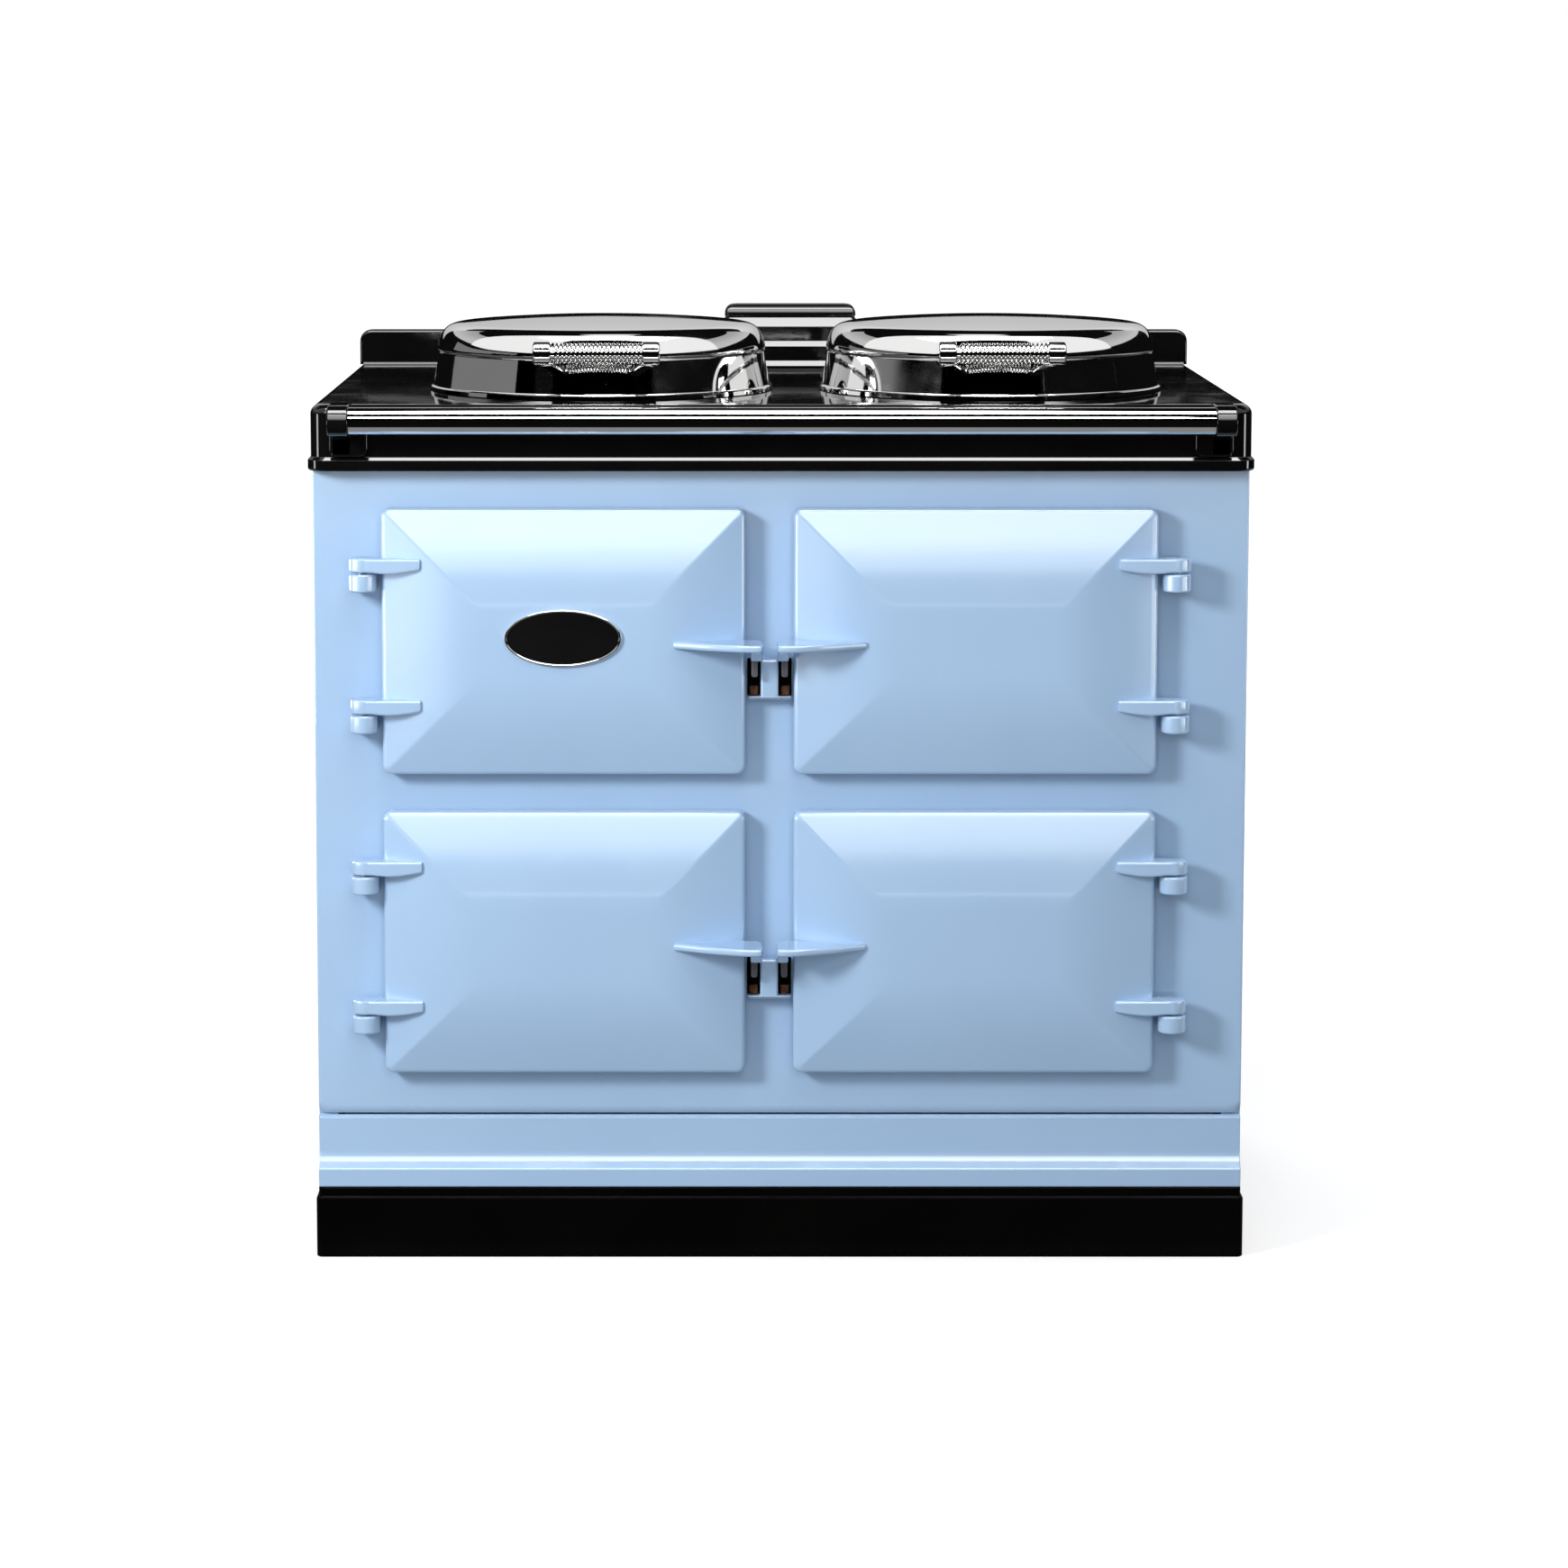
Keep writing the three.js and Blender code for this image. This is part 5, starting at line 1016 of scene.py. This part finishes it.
# ---------------------------------------------------------------- studio, in metres
def stage_card(name, points, faces, levels, ramp="Z", seen_by=None):
    """A card that only mirror-like surfaces see. Its glow runs from the first level to the
    second as X or Z rises over the card, and may be black to all but one set of pieces."""
    mesh = bpy.data.meshes.new(name)
    mesh.from_pydata(points, [], faces)
    material = bpy.data.materials.new(name)
    material.use_nodes = True
    tree = material.node_tree
    tree.nodes.remove(tree.nodes["Principled BSDF"])
    place = tree.nodes.new("ShaderNodeSeparateXYZ")
    tree.links.new(tree.nodes.new("ShaderNodeTexCoord").outputs["Object"], place.inputs["Vector"])
    along = np.transpose(points)["XYZ".index(ramp)]
    glow = tree.nodes.new("ShaderNodeEmission")
    level = ranged(tree, place.outputs[ramp], float(along.min()), float(along.max()) + MM, *levels)
    tree.links.new(level, glow.inputs["Strength"])
    tree.links.new(glow.outputs["Emission"], tree.nodes["Material Output"].inputs["Surface"])
    material.cycles.emission_sampling = "AUTO" if max(levels) > 1 else "NONE"
    mesh.materials.append(material)
    card = bpy.data.objects.new(name, mesh)
    bpy.context.scene.collection.objects.link(card)
    card.visible_camera = card.visible_diffuse = card.visible_shadow = card.visible_transmission = False
    if seen_by:
        card.light_linking.receiver_collection = SEEN_BY[seen_by]


def dome_patch(name, azimuth, elevation, levels, radius=5.0, ramp="Z", seen_by=None):
    """A patch of a dome over the cooker, between two azimuths (0 is the camera's side, + is its
    right) and two elevations, in degrees: radius times the unit vector of each direction."""
    count = math.ceil((azimuth[1] - azimuth[0]) / 6) + 1
    turn, rise = np.meshgrid(np.radians(np.linspace(*azimuth, count)), np.radians(elevation))
    direction = [np.cos(rise) * np.sin(turn), -np.cos(rise) * np.cos(turn), np.sin(rise)]
    rows = radius * np.stack(direction, axis=-1) + [0, 0, DOME_Z]
    points, faces = lattice(rows, False, points_close=False)
    stage_card(name, points.tolist(), faces, levels, ramp, seen_by)


def flat_card(name, x, y, z, level, seen_by=None):
    """A level card between two limits in X and two in Y."""
    points = [[x[0], y[0], z], [x[1], y[0], z], [x[1], y[1], z], [x[0], y[1], z]]
    stage_card(name, points, [[0, 1, 2, 3]], (level, level), seen_by=seen_by)


def reflection_cards():
    """What the mirror-like surfaces show: a dark room with window gaps in it, grey and glowing
    panels, and panels whose light only some pieces take. A card hides those at a larger radius."""
    dark, enamel, blue = (0.004, 0.004), "Enamelled pieces", "Blue pieces"
    for side, azimuth, top in (
            ("left_rear", (-150, -105), 19), ("left_window", (-105, -30), 18), ("left_front", (-30, -13), 27),
            ("middle", (-13, 13), 8.5), ("right_front", (13, 36), 27), ("right_window", (36, 92), 18),
            ("right_rear", (92, 150), 19)):
        dome_patch(f"dark_room_{side}", azimuth, (-9, top), dark)
    dome_patch("dark_room_rear", (100, 260), (-9, 5.5), dark)
    dome_patch("dark_gap_middle", (-33, 36), (50, 68), dark)
    for side, azimuth in (("right", (92, 150)), ("left", (210, 255))):
        dome_patch(f"grey_gap_{side}", azimuth, (19, 38), (0.6, 0.4))
        dome_patch(f"dark_gap_{side}", azimuth, (38, 80), dark)
    dome_patch("dark_boom_rear", (148, 212), (28, 72), dark, radius=4.9)
    dome_patch("grey_panel_rear", (150, 210), (5.5, 27), (0.55, 0.75), radius=4.8)
    dome_patch("grey_panel_left", (-122, -60), (6, 15), (0.2, 0.2), radius=4.5)
    for part, elevation, levels in (("foot", (8, 16), (0.1, 3.0)), ("low", (16, 24), (3.0, 6.6)),
                                    ("high", (24, 36), (6.6, 7.2)), ("top", (36, 50), (7.2, 12.0))):
        for side, azimuth in (("left", (-34, -13)), ("middle", (-13, 13)), ("right", (13, 34))):
            seen_by = None if (part, side) == ("high", "middle") else enamel
            dome_patch(f"front_panel_{part}_{side}", azimuth, elevation, levels, radius=4.7, seen_by=seen_by)
    dome_patch("side_panel_near", (-46, -15), (-15, 9), (3.2, 0.0), radius=4.6, ramp="X", seen_by=blue)
    dome_patch("side_panel_far", (-80, -46), (-15, 17), (9.0, 9.0), radius=4.6, seen_by=blue)
    dome_patch("side_panel_rear", (-125, -100), (-15, 5), (9.0, 9.0), radius=4.6, seen_by=blue)
    dome_patch("side_strip_right", (42, 78), (-15, 8), (5.0, 5.0), radius=4.6, seen_by=blue)
    for side, azimuth in (("left", (-78, -68)), ("right", (68, 78))):
        dome_patch(f"corner_strip_{side}", azimuth, (-15, 1), (9.0, 9.0), radius=4.4, seen_by=enamel)
    dome_patch("low_panel_front", (-14, 14), (-8, -5), (0.0, 2.5), radius=4.7, seen_by=blue)
    flat_card("overhead_panel", (-1.3, 1.3), (-1.25, -0.37), 3.0, 18.0)
    flat_card("grey_floor_near", (-3, 3), (-1.1, -0.3), 0.01, 0.25, "Chromed pieces")
    flat_card("dark_floor_far", (-3, 3), (-6, -1.1), 0.01, 0.004)


def floor():
    """A pale floor that looks white to the camera and still takes the cooker's shadow: the
    glow that only the camera sees grows with the distance from the cooker."""
    mesh = bpy.data.meshes.new("studio_floor")
    reach, grey, near, far, near_glow = 30.0, 0.45, 0.7, 3.5, 0.66
    corners = [[-reach, -reach, 0], [reach, -reach, 0], [reach, reach, 0], [-reach, reach, 0]]
    mesh.from_pydata(corners, [], [[0, 1, 2, 3]])
    material = bpy.data.materials.new("Pale floor")
    material.use_nodes = True
    nodes, links = material.node_tree.nodes, material.node_tree.links
    shader = nodes["Principled BSDF"]
    shader.inputs["Base Color"].default_value = (grey, grey, grey, 1)
    shader.inputs["Roughness"].default_value = 0.9
    shader.inputs["Specular IOR Level"].default_value = 0.0
    glow = nodes.new("ShaderNodeEmission")
    rays = nodes.new("ShaderNodeLightPath")
    glow.inputs["Color"].default_value = (1, 1, 1, 1)
    away = nodes.new("ShaderNodeVectorMath")
    away.operation = "LENGTH"
    links.new(nodes.new("ShaderNodeTexCoord").outputs["Object"], away.inputs[0])
    white = ranged(material.node_tree, away.outputs["Value"], near, far, near_glow, 1.0)
    strength = combined(material.node_tree, "MULTIPLY", rays.outputs["Is Camera Ray"], white)
    links.new(strength, glow.inputs["Strength"])
    both = nodes.new("ShaderNodeAddShader")
    links.new(shader.outputs["BSDF"], both.inputs[0])
    links.new(glow.outputs["Emission"], both.inputs[1])
    links.new(both.outputs["Shader"], nodes["Material Output"].inputs["Surface"])
    mesh.materials.append(material)
    plane = bpy.data.objects.new("studio_floor", mesh)
    bpy.context.scene.collection.objects.link(plane)


def backdrop_world():
    """White to the camera and to mirrors and glass, and a softer fill for everything else. Its
    light is only found by the rays themselves, so the cards hide it."""
    world = bpy.data.worlds.new("Studio")
    bpy.context.scene.world = world
    world.use_nodes = True
    world.cycles.sampling_method = "NONE"
    tree = world.node_tree
    background = tree.nodes["Background"]
    background.inputs["Color"].default_value = (1, 1, 1, 1)
    rays = tree.nodes.new("ShaderNodeLightPath")
    seen = combined(tree, "MAXIMUM", rays.outputs["Is Camera Ray"], rays.outputs["Is Glossy Ray"])
    seen = combined(tree, "MAXIMUM", seen, rays.outputs["Is Transmission Ray"])
    fill = 0.18
    strength = ranged(tree, seen, 0.0, 1.0, fill, 1.0)
    tree.links.new(strength, background.inputs["Strength"])


def lamp(name, place, aim, size, power):
    """A square soft box, of a size in metres and a power in watts, that lights surfaces without
    showing in them."""
    light = bpy.data.lights.new(name, "AREA")
    light.size = size
    light.energy = power
    source = bpy.data.objects.new(name, light)
    bpy.context.scene.collection.objects.link(source)
    from_to = np.array(aim) - np.array(place)
    source.location = place
    source.rotation_euler = (math.atan2(math.hypot(*from_to[:2]), -from_to[2]), 0,
                             math.atan2(from_to[1], from_to[0]) - QUARTER)
    source.visible_glossy = False


def camera():
    """A long lens in front of the cooker, a little above its top and looking down a little."""
    look_down = math.radians(6.821)
    lens = bpy.data.cameras.new("Camera")
    lens.lens = 101.004
    lens.sensor_width = 36
    lens.shift_x = 0.0430
    lens.shift_y = -0.12
    view = bpy.data.objects.new("Camera", lens)
    view.location = (-0.0672, -4.8611, 1.2556)
    view.rotation_euler = (QUARTER - look_down, 0, 0)
    bpy.context.scene.collection.objects.link(view)
    bpy.context.scene.camera = view


def studio():
    """Camera, floor, backdrop, cards and soft boxes."""
    bpy.context.scene.view_settings.view_transform = "Standard"
    camera()
    floor()
    backdrop_world()
    reflection_cards()
    lamp("key_soft_box", (-1.9, -2.1, 1.7), (0, -0.3, 0.5), 0.6, 64)
    lamp("overhead_soft_box", (0.0, -1.7, 2.9), (0, -0.2, 0.5), 1.4, 18)
    lamp("front_soft_box", (0.2, -3.6, 1.5), (0, -0.3, 0.5), 1.6, 31)
    lamp("right_soft_box", (3.2, 0.6, 1.5), (0.5, 0, 0.4), 1.4, 55)
    lamp("rear_soft_box", (-0.8, 3.4, 1.7), (0, 0.35, 0.4), 1.4, 55)


# ---------------------------------------------------------------- assembly
studio()
dress_kept_nodes()
plinth()
levelling_feet()
skirting()
front_plate()
mouth_seals()
rear_fittings()
wire_shelves()
control_fascia()
top_plate()
hotplates()
splashback()
vent_cap()
hand_rail()
for door_name in DOOR_NAMES:
    door_hand = 1 if door_name.endswith("left") else -1
    door_shell(door_name, door_hand)
    door_pan(door_name)
    door_handle(door_name, door_hand)
    for end in ("top", "bottom"):
        hinge_bracket(f"hinge_bracket_{door_name[5:]}_{end}")
badge()
latch_keeper("latch_keeper_upper")
latch_keeper("latch_keeper_lower")
for lid_name in LID_NAMES:
    lid(lid_name)
